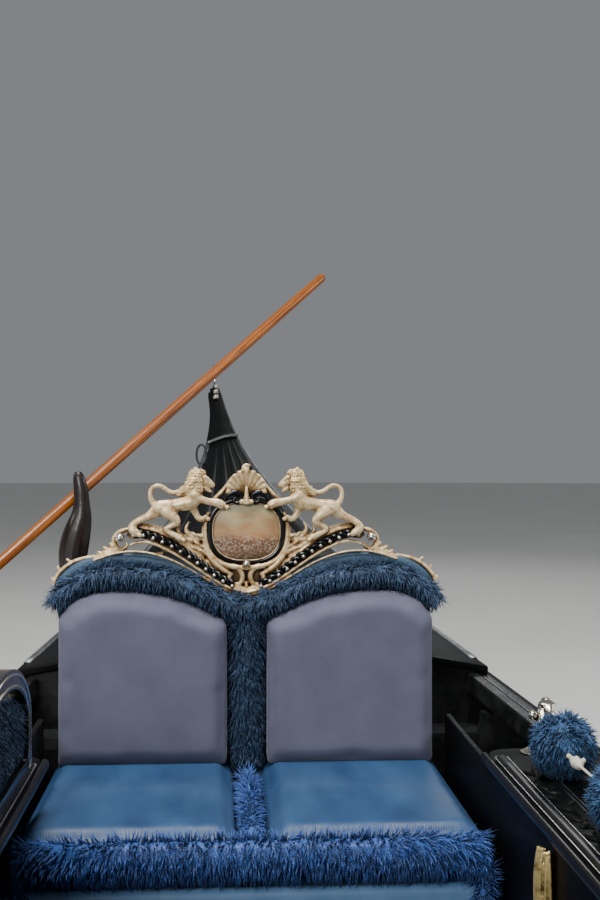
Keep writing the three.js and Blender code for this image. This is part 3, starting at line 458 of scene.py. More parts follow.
@dataclass(frozen=True)
class Painting(Finish):
    """The medallion's oval, painted in thin oils: an evening haze over a flowering meadow."""

    def make(self) -> bpy.types.Material:
        """Builds the material.

        Returns:
            The material.
        """
        skin = Surface(self.name, {"Coat Weight": 0.35, "Coat Roughness": 0.2, "Roughness": 0.45})
        height = skin.add("SeparateXYZ", {0: skin.place}, 2)
        streaks = skin.add("Mapping", {"Scale": (1, 0.6, 1.5), "Vector": skin.place})
        cloud = skin.add("TexNoise", {"Scale": 22, "Detail": 5, "Roughness": 0.62, "Vector": streaks})
        drift = skin.add("MapRange", {"Value": cloud, **MIDDLE, "To Min": -0.016, "To Max": 0.016})
        drifted = skin.add("Math", {"operation": "ADD", 0: height, 1: drift})
        rising = skin.add("MapRange", {"Value": drifted, "From Min": 0.835, "From Max": 0.915})
        stops = ((0.0, "#b98a62"), (0.35, "#bf9a6c"), (0.7, "#b3a376"), (1.0, "#a3a37c"))
        sky = skin.add("ValToRGB", {"Fac": rising, "stops": stops})
        rows = skin.add("Mapping", {"Scale": (1, 0.7, 1), "Vector": skin.place})
        blooms = skin.add("TexNoise", {"Scale": 240, "Detail": 4, "Roughness": 0.7, "Vector": rows})
        stops = ((0.36, "#553b22"), (0.5, "#8c6444"), (0.6, "#b9ad9c"))
        meadow = skin.add("ValToRGB", {"Fac": blooms, "stops": stops})
        shadow = skin.add("MapRange", {"Value": drifted, "From Min": 0.800, "From Max": 0.822,
                                       "To Min": 0.9, "To Max": 0.0})
        near = skin.add("Mix", {"data_type": "RGBA", 0: shadow, 6: meadow, 7: "#4a391b"}, 2)
        banks = skin.add("Mapping", {"Scale": (1, 1, 1.6), "Vector": skin.place})
        haze = skin.add("TexNoise", {"Scale": 30, "Detail": 5, "Roughness": 0.7, "Vector": banks})
        glow = skin.add("MapRange", {"Value": haze, "From Min": 0.46, "From Max": 0.66, "To Max": 0.6})
        warm = skin.add("Mix", {"data_type": "RGBA", 0: glow, 6: sky, 7: "#b3743a"}, 2)
        horizon = skin.add("MapRange", {"Value": drifted, "From Min": 0.830, "From Max": 0.850})
        tint = skin.add("Mix", {"data_type": "RGBA", 0: horizon, 6: near, 7: warm}, 2)
        strokes = skin.add("TexNoise", {"Scale": 300, "Detail": 4, "Vector": skin.place})
        normal = skin.add("Bump", {"Distance": 0.0004, "Strength": 0.4, "Height": strokes})
        return skin.finished({"Base Color": tint, "Normal": normal})


@dataclass(frozen=True)
class Plain(Finish):
    """The studio floor: matt and even, in a pale warm grey with a breath of mottling."""

    colour: str = "#d9d8d4"

    def make(self) -> bpy.types.Material:
        """Builds the material.

        Returns:
            The material.
        """
        skin = Surface(self.name, {"Roughness": 0.85, "Specular IOR Level": 0.2})
        mottle = skin.add("TexNoise", {"Scale": 0.8, "Detail": 2, "Vector": skin.place})
        tint = skin.add("ValToRGB", {"Fac": mottle, "stops": ((0.3, self.colour), (0.7, "#dfdeda"))})
        return skin.finished({"Base Color": tint})


HULL_GLOSS = Lacquer("black gloss enamel", "black_lacquer")
PANEL_GLOSS = Lacquer("rubbed black enamel", "black_lacquer", "#030304", "#070709", 0.5, 0.0003, 0.12)
DECK_GLOSS = Lacquer("weathered black enamel", "black_lacquer", "#030404", "#070909", 0.5, 0.0003, 0.1)
RAIL_GLOSS = Lacquer("waxed black enamel", "black_lacquer", "#040405", "#0b0b0c", 0.28, 0.0003, 0.24)
FOLD_SATIN = Satin("grey blue satin", "seat_satin", "#4d6679", "#33495f")
# The apron's satin is the seat's satin made paler, standing in for light that doesn't reach the apron under
# the fur: painted light.
APRON_SATIN_LIT = Satin("light steel satin", "seat_satin", "#7197bd", "#5078a6")
INNER_PAINT = Paint("black boat paint", "black_paint")
FLOOR_WOOD = Wood("oiled larch boards", "floor_wood", "#2a190f", "#523520", rings=30, roughness=0.5)
BARE_WOOD = Wood("scrubbed pine", "bare_wood", "#5b3d25", "#8d6a45", rings=26, roughness=0.6)
WALNUT = Wood("oiled walnut", "walnut", "#0b0705", "#23130c", Axis.UP, 40, 0.36, 0.2)
# The oar's direction towards its blade, and the turn that lays its grain along it.
OAR_AXIS = Vector((0.527, -0.615, -0.586)).normalized()
OAR_TURN = tuple(OAR_AXIS.rotation_difference(Vector((1, 0, 0))).to_euler())
OAR_WOOD = Wood("varnished beech", "oar_wood", "#73390a", "#b0641a", Axis.ALONG, 34, 0.36, 0.2, OAR_TURN)
STEEL = Metal("burnished steel", "iron")
BEAD_METAL = Metal("bright silvered bead", "brass", "#f4f1e6", "#b5b0a2", 0.16, Axis.ALONG, 0.0015)
PEARL = Metal("silvered pearl beads", "brass", "#f1ede2", "#8b8470", 0.22, Axis.ALONG, 0.004)
SILVERED = Metal("silvered brass", "brass", "#dfd9c8", "#5d5647", 0.2, Axis.ALONG, 0.008)
BAND_METAL = Metal("weathered brass strip", "brass", "#8a938b", "#3c433e", 0.42)
STRIP_METAL = Metal("dull plated strip", "brass", "#8e9191", "#3c3f40", 0.45, Axis.ALONG, 0.004)
# The carved and gilt finishes darken through gold to near black in their recesses: painted shade.
CREAM_CARVING = Carving("glazed pale gold leaf", "carved_cream")
GROUND_GOLD = Carving("toned gold ground", "carved_cream", "#dfbf84", "#8f6228", "#100903", 0.3, 0.34, 0.02)
MANE_GOLD = Carving("glazed gold leaf", "carved_cream", "#ecd09a", "#9a6a30", "#140b04", 0.35, 0.28, 0.008)
GILT = Carving("worn gold leaf", "gilt", "#d9c284", "#5f4a1c", "#0e0903", 0.6, 0.3, 0.009)
PANEL_PAINTING = Painting("oil painted oval", "painted_panel")
GREY_VELVET = Velvet("grey lilac velvet", "grey_velvet")
NAVY_VELVET = Velvet("navy velvet", "navy_velvet", "#131f38", "#0b1222", "#5b76a8", 0.45)
# The same cloth as the apron's paler copy; the difference between the two is painted light.
SEAT_SATIN = Satin("steel blue satin", "seat_satin", "#34567b", "#233f63")
NAVY_FUR = FurPile("navy long pile", "navy_fur")
ROYAL_FUR = FurPile("royal blue long pile", "royal_fur", "#0e2658", "#2c5cb2", "#7ea3e6")
POMPOM_WOOL = FurPile("steel blue wool", "royal_fur", "#081a33", "#255283", "#6393c2")
SILK = Velvet("white silk cord", "grey_velvet", "#d9d4c6", "#b9b2a0", "#ffffff", 0.3)
STUDIO_FLOOR = Plain("studio floor", "")
FINISHES = (
    HULL_GLOSS, INNER_PAINT, FLOOR_WOOD, BARE_WOOD, WALNUT, OAR_WOOD, STEEL, SILVERED, CREAM_CARVING,
    GILT, PANEL_PAINTING, GREY_VELVET, NAVY_VELVET, SEAT_SATIN, NAVY_FUR, ROYAL_FUR,
)


# The hull's lines, in metres, as the part has them.


@dataclass(frozen=True)
class HullLines:
    """Curves from amidships to the plank ends that the decks, rails and floor hole follow.

    A pair holds the fore half's value and the after half's.
    """

    half_length: float = 5.2
    middle: float = 0.03
    bend: float = 0.15
    bend_power: tuple[int, int] = (2, 5)
    draft: float = 0.22
    keel_rise: tuple[float, float] = (1.19, 1.355)
    keel_power: float = 3.2
    sheer_height: float = 0.43
    sheer_rise: tuple[float, float] = (0.785, 0.96)
    sheer_power: int = 3
    beam_half: float = 0.66
    beam_end: float = 0.04
    beam_powers: tuple[Row, Row] = ((2.2, 1.25), (2.6, 2.08))
    bottom_half: float = 0.44
    bottom_end: float = 0.014
    bottom_powers: tuple[float, float] = (2, 1.8)
    camber_rise: tuple[float, float] = (0.055, 0.095)
    deck_lift: float = 0.0164
    tuck_start: float = -3.9
    tuck_length: float = 1.2
    tuck_shift: float = 0.03
    tuck_share: float = 0.42

    def along(self, x: float) -> float:
        """Part of the way from amidships to an end."""
        return abs(x) / self.half_length

    def centre(self, x: float) -> float:
        """Y of the hull's middle, which bends to starboard at both ends."""
        return self.middle - self.bend * self.along(x) ** self.bend_power[x < 0]

    def keel(self, x: float) -> float:
        """Height of the underside."""
        return -self.draft + self.keel_rise[x < 0] * self.along(x) ** self.keel_power

    def sheer(self, x: float) -> float:
        """Height of the plank tops."""
        return self.sheer_height + self.sheer_rise[x < 0] * self.along(x) ** self.sheer_power

    def beam(self, x: float) -> float:
        """Half of the width at the plank tops."""
        inner, outer = self.beam_powers[x < 0]
        return self.beam_end + (self.beam_half - self.beam_end) * (1 - self.along(x) ** inner) ** outer

    def tucked(self, x: float, y: float) -> float:
        """Y of a place on the hull after the stern is drawn in, slimmer than the part has it.

        Args:
            x: place along the hull.
            y: the part's own y there.

        Returns:
            The drawn-in y.
        """
        share = min(max((self.tuck_start - x) / self.tuck_length, 0.0), 1.0) ** 2
        middle = self.centre(x)
        return middle + self.tuck_shift * share + (y - middle) * (1 - self.tuck_share * share)

    def bottom(self, x: float) -> float:
        """Half of the width of the flat bottom."""
        inner, outer = self.bottom_powers
        return self.bottom_end + (self.bottom_half - self.bottom_end) * (1 - self.along(x) ** inner) ** outer

    def half_width(self, x: float, z: float) -> float:
        """Half of the outside width at a height.

        Args:
            x: place along the hull.
            z: height.

        Returns:
            The half width.
        """
        knuckles = ((0.0, 0.0), (0.3, 0.46), (0.65, 0.84), (1.0, 1.0))
        part = (z - self.keel(x)) / (self.sheer(x) - self.keel(x))
        low, high = next(((a, b) for a, b in zip(knuckles, knuckles[1:]) if part <= b[0]), knuckles[2:])
        flare = low[1] + (part - low[0]) / (high[0] - low[0]) * (high[1] - low[1])
        return self.bottom(x) + flare * (self.beam(x) - self.bottom(x))

    def camber(self, x: float) -> float:
        """Rise of a deck's middle over its edges."""
        return self.camber_rise[x < 0] * self.beam(x) / self.beam_half

    def deck_top(self, x: float, across: float) -> float:
        """Height of a deck's top.

        Args:
            x: place along the hull.
            across: part of the half beam, from -1 at starboard to 1 at port.

        Returns:
            The height.
        """
        rows = ((0.0, 1.0), (0.5, 0.66), (1.0, 0.0))
        out = min(abs(across), 1.0)
        low, high = (rows[0], rows[1]) if out <= 0.5 else (rows[1], rows[2])
        rise = low[1] + (out - low[0]) / (high[0] - low[0]) * (high[1] - low[1])
        return self.sheer(x) + self.deck_lift + rise * self.camber(x)


HULL = HullLines()


# Making pieces.


def cad_copy(node: str) -> Mesh:
    """Copies a CAD node's mesh and merges its loose triangles.

    Args:
        node: the node's name.

    Returns:
        The merged copy.
    """
    bm = bmesh.new()
    bm.from_mesh(frame["nodes"][node].data)
    bmesh.ops.remove_doubles(bm, verts=bm.verts, dist=0.00005)
    bmesh.ops.dissolve_degenerate(bm, edges=bm.edges, dist=0.00002)
    return bm


def scratch(bm: Mesh, name: str = "scratch") -> bpy.types.Object:
    """Puts a mesh into an object that isn't linked to the scene.

    Args:
        bm: the mesh, which is freed.
        name: the object's name.

    Returns:
        The object.
    """
    mesh = bpy.data.meshes.new(name)
    bm.to_mesh(mesh)
    bm.free()
    return bpy.data.objects.new(name, mesh)


def new_piece(bm: Mesh, name: str, finish: Finish, body: str = "hull", angle: float = 180,
              replaces: Sequence[str] = ()) -> bpy.types.Object:
    """Turns a mesh under construction into a finished piece of the boat.

    Args:
        bm: the mesh, which is freed.
        name: the piece's name.
        finish: its finish.
        body: the CAD body that it moves with.
        angle: edges sharper than this, in degrees, stay crisp.
        replaces: CAD nodes that the piece stands for.

    Returns:
        The new object.
    """
    limit = math.radians(angle)
    for face in bm.faces:
        face.smooth = True
    for edge in bm.edges:
        edge.smooth = edge.calc_face_angle(0.0) < limit
    piece = scratch(bm, name)
    bpy.context.scene.collection.objects.link(piece)
    piece.data.materials.append(finish.material)
    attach(piece, body)
    if replaces:
        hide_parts(*replaces)
    log.info("%s in %s", piece.name, finish.name)
    return piece


def sharp_edges(bm: Mesh, angle: float) -> list[bmesh.types.BMEdge]:
    """Edges whose two faces meet at more than an angle in degrees."""
    limit = math.radians(angle)
    return [edge for edge in bm.edges if edge.calc_face_angle(0.0) > limit]


def eased(bm: Mesh, width: float, segments: int = 2, angle: float = 40) -> None:
    """Rounds the sharp edges of a mesh.

    Args:
        bm: the mesh.
        width: width of the rounding in metres.
        segments: steps across it.
        angle: edges sharper than this, in degrees, are rounded.
    """
    flat = math.radians(1)
    bmesh.ops.dissolve_limit(bm, angle_limit=flat, verts=bm.verts, edges=bm.edges)
    bmesh.ops.bevel(bm, geom=sharp_edges(bm, angle), offset=width, offset_type="OFFSET", affect="EDGES",
                    segments=segments, profile=0.5, clamp_overlap=True, material=-1)


def add_modifier(piece: bpy.types.Object, kind: str, **settings: object) -> None:
    """Adds a modifier.

    Args:
        piece: what gets it.
        kind: the modifier's type name.
        settings: values of its properties.
    """
    modifier = piece.modifiers.new(kind.title(), kind)
    for key, value in settings.items():
        setattr(modifier, key, value)


def flowing(node: str, finish: Finish, levels: int = 2, bevel: float = 0.003) -> bpy.types.Object:
    """Replaces a long faceted CAD piece by one with the same lines drawn smooth.

    Args:
        node: the CAD node.
        finish: its finish.
        levels: steps of subdivision.
        bevel: width of the rounding on its arrises.

    Returns:
        The new piece.
    """
    bm = cad_copy(node)
    bmesh.ops.join_triangles(bm, faces=bm.faces, angle_face_threshold=math.radians(30),
                             angle_shape_threshold=math.pi)
    crease = bm.edges.layers.float.new("crease_edge")
    for edge in sharp_edges(bm, 35):
        edge[crease] = 1.0
    for vert in bm.verts:
        vert.co.y = HULL.tucked(vert.co.x, vert.co.y)
    piece = new_piece(bm, "smooth_" + node, finish, replaces=[node])
    add_modifier(piece, "SUBSURF", levels=levels, render_levels=levels)
    add_modifier(piece, "BEVEL", width=bevel, segments=2, limit_method="ANGLE", angle_limit=math.radians(50),
                 harden_normals=False)
    return piece


# Swept lines and long pile.


@dataclass(frozen=True)
class Line:
    """One line to be drawn as a round bar: its points and, where it tapers, its width at each."""

    points: Sequence[Row]
    widths: Sequence[float] = ()
    closed: bool = False


def drawn(lines: Iterable[Line], radius: float, sides: int = 2, smooth: int = 0,
          flat: tuple[float, float] | None = None) -> Mesh:
    """Draws lines as round or flattened bars with closed ends.

    Args:
        lines: the lines.
        radius: radius of a bar where its width is one.
        sides: steps in a quarter of the bar's section, beyond four.
        smooth: steps drawn between two points of a line, or none to keep its points as corners.
        flat: half width and half height of an oval section, in place of a round one.

    Returns:
        The bars' mesh.
    """
    data = bpy.data.curves.new("drawing", "CURVE")
    data.dimensions = "3D"
    data.use_fill_caps = True
    section = None
    if flat is None:
        data.bevel_depth = radius
        data.bevel_resolution = sides
    else:
        oval = bpy.data.curves.new("section", "CURVE")
        oval.dimensions = "2D"
        ring = oval.splines.new("POLY")
        turns = [2 * math.pi * i / (4 + 4 * sides) for i in range(4 + 4 * sides)]
        ring.points.add(len(turns) - 1)
        for point, turn in zip(ring.points, turns):
            point.co = (flat[0] * math.cos(turn), flat[1] * math.sin(turn), 0, 1)
        ring.use_cyclic_u = True
        section = bpy.data.objects.new("section", oval)
        data.bevel_mode = "OBJECT"
        data.bevel_object = section
    for line in lines:
        spline = data.splines.new("NURBS" if smooth else "POLY")
        spline.points.add(len(line.points) - 1)
        widths = line.widths or [1.0] * len(line.points)
        for point, place, width in zip(spline.points, line.points, widths):
            point.co = (*place, 1)
            point.radius = width
        spline.use_cyclic_u = line.closed
        if smooth:
            spline.order_u = min(4, len(line.points))
            spline.use_endpoint_u = not line.closed
            spline.resolution_u = smooth
    holder = bpy.data.objects.new("drawing", data)
    bpy.context.scene.collection.objects.link(holder)
    bpy.context.view_layer.update()
    mesh = bpy.data.meshes.new_from_object(holder.evaluated_get(bpy.context.evaluated_depsgraph_get()))
    bm = bmesh.new()
    bm.from_mesh(mesh)
    bmesh.ops.remove_doubles(bm, verts=bm.verts, dist=0.00001)
    bmesh.ops.recalc_face_normals(bm, faces=bm.faces)
    bpy.data.objects.remove(holder)
    bpy.data.curves.remove(data)
    bpy.data.meshes.remove(mesh)
    if section is not None:
        bpy.data.objects.remove(section)
    return bm


def tapered(rows: Iterable[Row], place: Callable[..., Point], sides: int = 2,
            smooth: int = 4) -> Mesh:
    """Draws one round bar along rows of coordinates that end in its half width in millimetres."""
    line = Line([place(*row[:-1]) for row in rows], [row[-1] * MM for row in rows])
    return drawn([line], 1.0, sides, smooth)


def oval_bar(points: Sequence[Row], half: float, thick: float, smooth: int = 0) -> Mesh:
    """Draws one bar whose section is an oval with a half width and a half height."""
    return drawn([Line(points)], 0.0, 3, smooth, (half, thick))


def joined(parts: Iterable[Mesh]) -> Mesh:
    """Puts several meshes into one.

    Args:
        parts: the meshes, which are freed.

    Returns:
        One mesh with all of them.
    """
    whole = bmesh.new()
    for part in parts:
        mesh = bpy.data.meshes.new("part")
        part.to_mesh(mesh)
        part.free()
        whole.from_mesh(mesh)
        bpy.data.meshes.remove(mesh)
    return whole


def settled(piece: bpy.types.Object) -> Mesh:
    """Takes an unlinked object's mesh as its modifiers leave it.

    Args:
        piece: the object, which is removed.

    Returns:
        The mesh.
    """
    bpy.context.scene.collection.objects.link(piece)
    bpy.context.view_layer.update()
    mesh = bpy.data.meshes.new_from_object(piece.evaluated_get(bpy.context.evaluated_depsgraph_get()))
    bm = bmesh.new()
    bm.from_mesh(mesh)
    bpy.data.objects.remove(piece)
    bpy.data.meshes.remove(mesh)
    return bm


@dataclass(frozen=True)
class Pelt:
    """Long pile: how its strands are cut, how close they stand and which way they are combed."""

    length: float = 0.032
    radius: float = 0.0013
    per_area: float = 65000
    comb: Point = (0.0, 0.0, -0.9)
    unruly: float = 1.3
    swirl: float = 34.0
    seed: int = 1
    curl: float = 0.34

    def strand(self) -> bpy.types.Object:
        """Makes one lock: a three-sided point that bends over towards its tip.

        Returns:
            The lock, not linked to the scene.
        """
        bm = bmesh.new()
        bmesh.ops.create_cone(bm, segments=3, radius1=self.radius, radius2=0.0,
                              depth=self.length, cap_ends=True)
        bmesh.ops.translate(bm, verts=bm.verts, vec=(0, 0, self.length / 2))
        geom = list(bm.verts) + list(bm.edges) + list(bm.faces)
        bmesh.ops.bisect_plane(bm, geom=geom, plane_co=(0, 0, self.length * 0.5), plane_no=(0, 0, 1))
        for vert in bm.verts:
            part = vert.co.z / self.length
            vert.co.x += self.length * self.curl * part**2
        bmesh.ops.triangulate(bm, faces=bm.faces)
        return scratch(bm, "strand")

    def grow(self, skin: Mesh, name: str, finish: Finish, body: str = "hull",
             replaces: Sequence[str] = ()) -> bpy.types.Object:
        """Grows the pile on a skin and keeps the skin under it.

        Args:
            skin: the hidden skin, which is freed.
            name: the piece's name.
            finish: its finish.
            body: the CAD body that it moves with.
            replaces: CAD nodes that it stands for.

        Returns:
            The furry piece.
        """
        strand = self.strand()
        tree = bpy.data.node_groups.new("pelt", "GeometryNodeTree")
        for way in ("INPUT", "OUTPUT"):
            tree.interface.new_socket("Geometry", in_out=way, socket_type="NodeSocketGeometry")
        source = add_node(tree, "NodeGroupInput").outputs[0]
        spots = add_node(tree, "GeometryNodeDistributePointsOnFaces",
                         {"Density": self.per_area, "Seed": self.seed, "Mesh": source})
        swirl = add_node(tree, "ShaderNodeTexNoise", {"Scale": self.swirl, "Detail": 2})
        off = add_node(tree, "ShaderNodeVectorMath",
                       {"operation": "SUBTRACT", 0: swirl.outputs["Color"], 1: (0.5, 0.5, 0.5)})
        stir = add_node(tree, "ShaderNodeVectorMath", {"operation": "MULTIPLY_ADD", 0: off.outputs[0],
                                                       1: (self.unruly,) * 3, 2: self.comb})
        lean = add_node(tree, "ShaderNodeVectorMath",
                        {"operation": "ADD", 0: stir.outputs[0], 1: spots.outputs["Normal"]})
        stand = add_node(tree, "FunctionNodeAlignRotationToVector", {"axis": "Z", "Vector": lean.outputs[0]})
        tumble = {"data_type": "FLOAT_VECTOR", 0: (-0.25, -0.25, -0.5), 1: (0.25, 0.25, 0.5)}
        roll = add_node(tree, "FunctionNodeRandomValue", {**tumble, "Seed": self.seed + 7})
        turn = add_node(tree, "FunctionNodeEulerToRotation", {0: roll.outputs[0]})
        turns = {"rotation_space": "LOCAL", "Rotation": stand.outputs[0], "Rotate By": turn.outputs[0]}
        both = add_node(tree, "FunctionNodeRotateRotation", turns)
        size = add_node(tree, "FunctionNodeRandomValue",
                        {"data_type": "FLOAT", 2: 0.7, 3: 1.12, "Seed": self.seed + 3})
        lock = add_node(tree, "GeometryNodeObjectInfo", {"Object": strand})
        pile = add_node(tree, "GeometryNodeInstanceOnPoints",
                        {"Points": spots.outputs[0], "Instance": lock.outputs["Geometry"],
                         "Rotation": both.outputs[0], "Scale": size.outputs[1]})
        real = add_node(tree, "GeometryNodeRealizeInstances", {0: pile.outputs[0]})
        whole = add_node(tree, "GeometryNodeJoinGeometry", {0: source})
        tree.links.new(real.outputs[0], whole.inputs[0])
        add_node(tree, "NodeGroupOutput", {0: whole.outputs[0]})
        carrier = scratch(skin, "carrier")
        carrier.modifiers.new("pelt", "NODES").node_group = tree
        bm = settled(carrier)
        bpy.data.objects.remove(strand)
        bpy.data.node_groups.remove(tree)
        return new_piece(bm, name, finish, body, replaces=replaces)


@dataclass(frozen=True)
class Stuffing:
    """How a pad is filled: the mesh of its cover, the pressure in it and how far it may swell."""

    voxel: float = 0.0115
    pressure: float = 4.0
    cap: float = 0.018
    drift: float = 0.003
    frames: int = 20
    cuts: int = 1
    rest_axis: Axis = Axis.UP
    rest_at: float = 0.0

    def fill(self, bm: Mesh) -> Mesh:
        """Blows a closed cover up like a cushion, with one side flat on what carries it.

        Args:
            bm: the cover, cut a little small, which is freed.

        Returns:
            The filled cover, smoothed, and subdivided when cuts asks for it.
        """
        cover = scratch(bm, "cover")
        add_modifier(cover, "REMESH", mode="VOXEL", voxel_size=self.voxel)
        bm = settled(cover)
        start = [vert.co.copy() for vert in bm.verts]
        swollen = self.simulated(bm)
        bm.normal_update()
        outward = [vert.normal.copy() for vert in bm.verts]
        for vert, before, after, normal in zip(bm.verts, start, swollen, outward):
            step = after - before
            swell = step.dot(normal)
            drift = step - normal * swell
            if drift.length > self.drift:
                drift *= self.drift / drift.length
            vert.co = before + drift + normal * min(max(swell, -self.drift), self.cap)
            vert.co[self.rest_axis.value] = max(vert.co[self.rest_axis.value], self.rest_at)
        for _ in range(2):
            bmesh.ops.smooth_vert(bm, verts=bm.verts, factor=0.5, use_axis_x=True, use_axis_y=True,
                                  use_axis_z=True)
        if self.cuts:
            bmesh.ops.subdivide_edges(bm, edges=bm.edges, cuts=self.cuts, smooth=1.0, use_grid_fill=True)
        return bm

    def simulated(self, bm: Mesh) -> list[Vector]:
        """Runs the cloth under pressure.

        Args:
            bm: the cover.

        Returns:
            Where each of its points ends.
        """
        mesh = bpy.data.meshes.new("cloth")
        bm.to_mesh(mesh)
        cloth = bpy.data.objects.new("cloth", mesh)
        bpy.context.scene.collection.objects.link(cloth)
        modifier = cloth.modifiers.new("Cloth", "CLOTH")
        settings = modifier.settings
        settings.use_pressure = True
        settings.uniform_pressure_force = self.pressure
        settings.quality = 5
        settings.tension_stiffness = 25
        settings.bending_stiffness = 1.0
        settings.effector_weights.gravity = 0
        modifier.collision_settings.use_collision = False
        modifier.point_cache.frame_end = self.frames + 5
        for step in range(1, self.frames + 1):
            bpy.context.scene.frame_set(step)
        after = cloth.evaluated_get(bpy.context.evaluated_depsgraph_get()).to_mesh()
        places = [vert.co.copy() for vert in after.vertices]
        bpy.data.objects.remove(cloth)
        bpy.data.meshes.remove(mesh)
        bpy.context.scene.frame_set(1)
        return places


def cut_small(node: str, margin: float) -> Mesh:
    """A copy of a CAD pad, cut smaller all round so that it can swell into the pad's space.

    Args:
        node: the CAD node.
        margin: how much smaller at each side.

    Returns:
        The smaller closed mesh.
    """
    bm = cad_copy(node)
    low, high = (Vector(corner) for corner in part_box(node))
    middle = (low + high) / 2
    size = high - low
    shrink = Vector(tuple(1 - 2 * margin / length for length in size))
    for vert in bm.verts:
        vert.co = middle + Vector(tuple(d * s for d, s in zip(vert.co - middle, shrink)))
    return bm


def stuffed(node: str, name: str, finish: Finish, margin: float, filling: Stuffing) -> bpy.types.Object:
    """Replaces a CAD pad by a filled one whose cover was cut smaller by a margin."""
    return new_piece(filling.fill(cut_small(node, margin)), name, finish, replaces=[node])


# The studio: camera, lights and the floor at the waterline.


@dataclass(frozen=True)
class Studio:
    """Camera at the photograph's place, soft lights, and a pale floor with a hole for the hull."""

    eye: Point = (1.9, -0.06, 1.03)
    yaw: float = 3.66
    pitch: float = 0.23
    lens: float = 50.0
    floor_radius: float = 45.0
    waterline_ends: tuple[float, float] = (3.05, 2.93)
    inside_planks: float = 0.008
    hole_steps: int = 24
    rim_steps: int = 96
    sky: str = "#dfe3e8"
    sky_strength: float = 0.3

    def build(self) -> None:
        """Makes the camera, the lights and the floor."""
        self.add_camera()
        self.add_lights()
        self.add_floor()

    def add_camera(self) -> None:
        """Places the camera ahead of the seat, looking aft and a little to port."""
        camera = bpy.data.cameras.new("camera")
        camera.lens = self.lens
        camera.clip_start = 0.02
        holder = bpy.data.objects.new("camera", camera)
        turn, lift = math.radians(self.yaw), math.radians(self.pitch)
        ahead = Vector((-math.cos(turn) * math.cos(lift), math.sin(turn) * math.cos(lift), math.sin(lift)))
        self.hang(holder, self.eye, ahead)
        bpy.context.scene.camera = holder

    @staticmethod
    def hang(holder: bpy.types.Object, place: Point, ahead: Vector) -> None:
        """Links a camera or a light to the scene, and places and aims it.

        Args:
            holder: the camera or light.
            place: where it stands.
            ahead: the direction that it looks in.
        """
        bpy.context.scene.collection.objects.link(holder)
        holder.location = place
        holder.rotation_euler = ahead.to_track_quat("-Z", "Y").to_euler()

    def add_lights(self) -> None:
        """Hangs a broad overhead light, a front fill and side strips that draw lines on the gloss."""
        # Name, place, what it is aimed at, width, height and power.
        rows = (
            ("overhead", (0.6, -0.4, 6.0), (-0.9, 0.0, 0.5), 3.2, 2.4, 470),
            ("front_fill", (4.6, -2.0, 2.7), (-1.0, 0.0, 0.5), 2.6, 2.0, 190),
            ("port_strip", (-1.5, 5.2, 3.4), (-0.8, 0.0, 0.5), 4.5, 0.7, 70),
            ("starboard_strip", (-1.8, -5.4, 3.2), (-0.8, 0.0, 0.5), 4.5, 0.7, 60),
            ("stern_glow", (-9.0, 2.0, 4.2), (-4.0, 0.0, 0.9), 2.2, 1.6, 40),
        )
        for name, place, aim, width, height, power in rows:
            light = bpy.data.lights.new(name, "AREA")
            light.shape = "RECTANGLE"
            light.size = width
            light.size_y = height
            light.energy = power
            self.hang(bpy.data.objects.new(name, light), place, Vector(aim) - Vector(place))
        world = bpy.data.worlds.new("studio")
        world.use_nodes = True
        sky = world.node_tree.nodes["Background"]
        sky.inputs["Color"].default_value = linear(self.sky)
        sky.inputs["Strength"].default_value = self.sky_strength
        bpy.context.scene.world = world

    def add_floor(self) -> None:
        """Lays the floor at z = 0 with a hole along the hull's waterline, hidden in the planks."""
        bm = bmesh.new()
        rows = [i / self.hole_steps for i in range(-self.hole_steps, self.hole_steps + 1)]
        xs = [self.waterline_ends[row < 0] * math.sin(row * math.pi / 2) for row in rows]
        halves = [max(HULL.half_width(x, 0.0) - self.inside_planks, 0.004) for x in xs]
        port = [(x, HULL.centre(x) + half, 0.0) for x, half in zip(xs, halves)]
        starboard = [(x, HULL.centre(x) - half, 0.0) for x, half in zip(xs, halves)]
        loop = [bm.verts.new(point) for point in port + starboard[::-1]]
        for first, second in zip(loop, loop[1:] + loop[:1]):
            bm.edges.new((first, second))
        bmesh.ops.create_circle(bm, radius=self.floor_radius, segments=self.rim_steps)
        bmesh.ops.triangle_fill(bm, use_beauty=True, edges=bm.edges, normal=(0, 0, 1))
        for face in bm.faces:
            if face.normal.z < 0:
                face.normal_flip()
        floor = scratch(bm, "studio_floor")
        bpy.context.scene.collection.objects.link(floor)
        floor.data.materials.append(STUDIO_FLOOR.material)


# Hull, decks and rails.


@dataclass(frozen=True)
class HullSkin:
    """The planking, decks and rails, redrawn with smooth lines."""

    gloss: tuple[str, ...] = (
        "side_planks_port_aft", "side_planks_port_fore", "side_planks_starboard_aft",
        "side_planks_starboard_fore", "rub_rail_port", "rub_rail_starboard", "aft_deck", "fore_deck",
        "side_deck_port", "side_deck_starboard",
    )
    rubbed: tuple[str, ...] = ("inner_panel_port", "inner_panel_starboard", "seat_base")
    painted: tuple[str, ...] = ("bottom_planks", "inner_rail_port", "inner_rail_starboard")

    def build(self) -> None:
        """Makes every plank and rail."""
        for node in self.gloss:
            flowing(node, HULL_GLOSS if "planks" in node else DECK_GLOSS)
        for node in self.rubbed:
            flowing(node, PANEL_GLOSS, 1)
        for node in self.painted:
            flowing(node, INNER_PAINT)


# The loveseat.


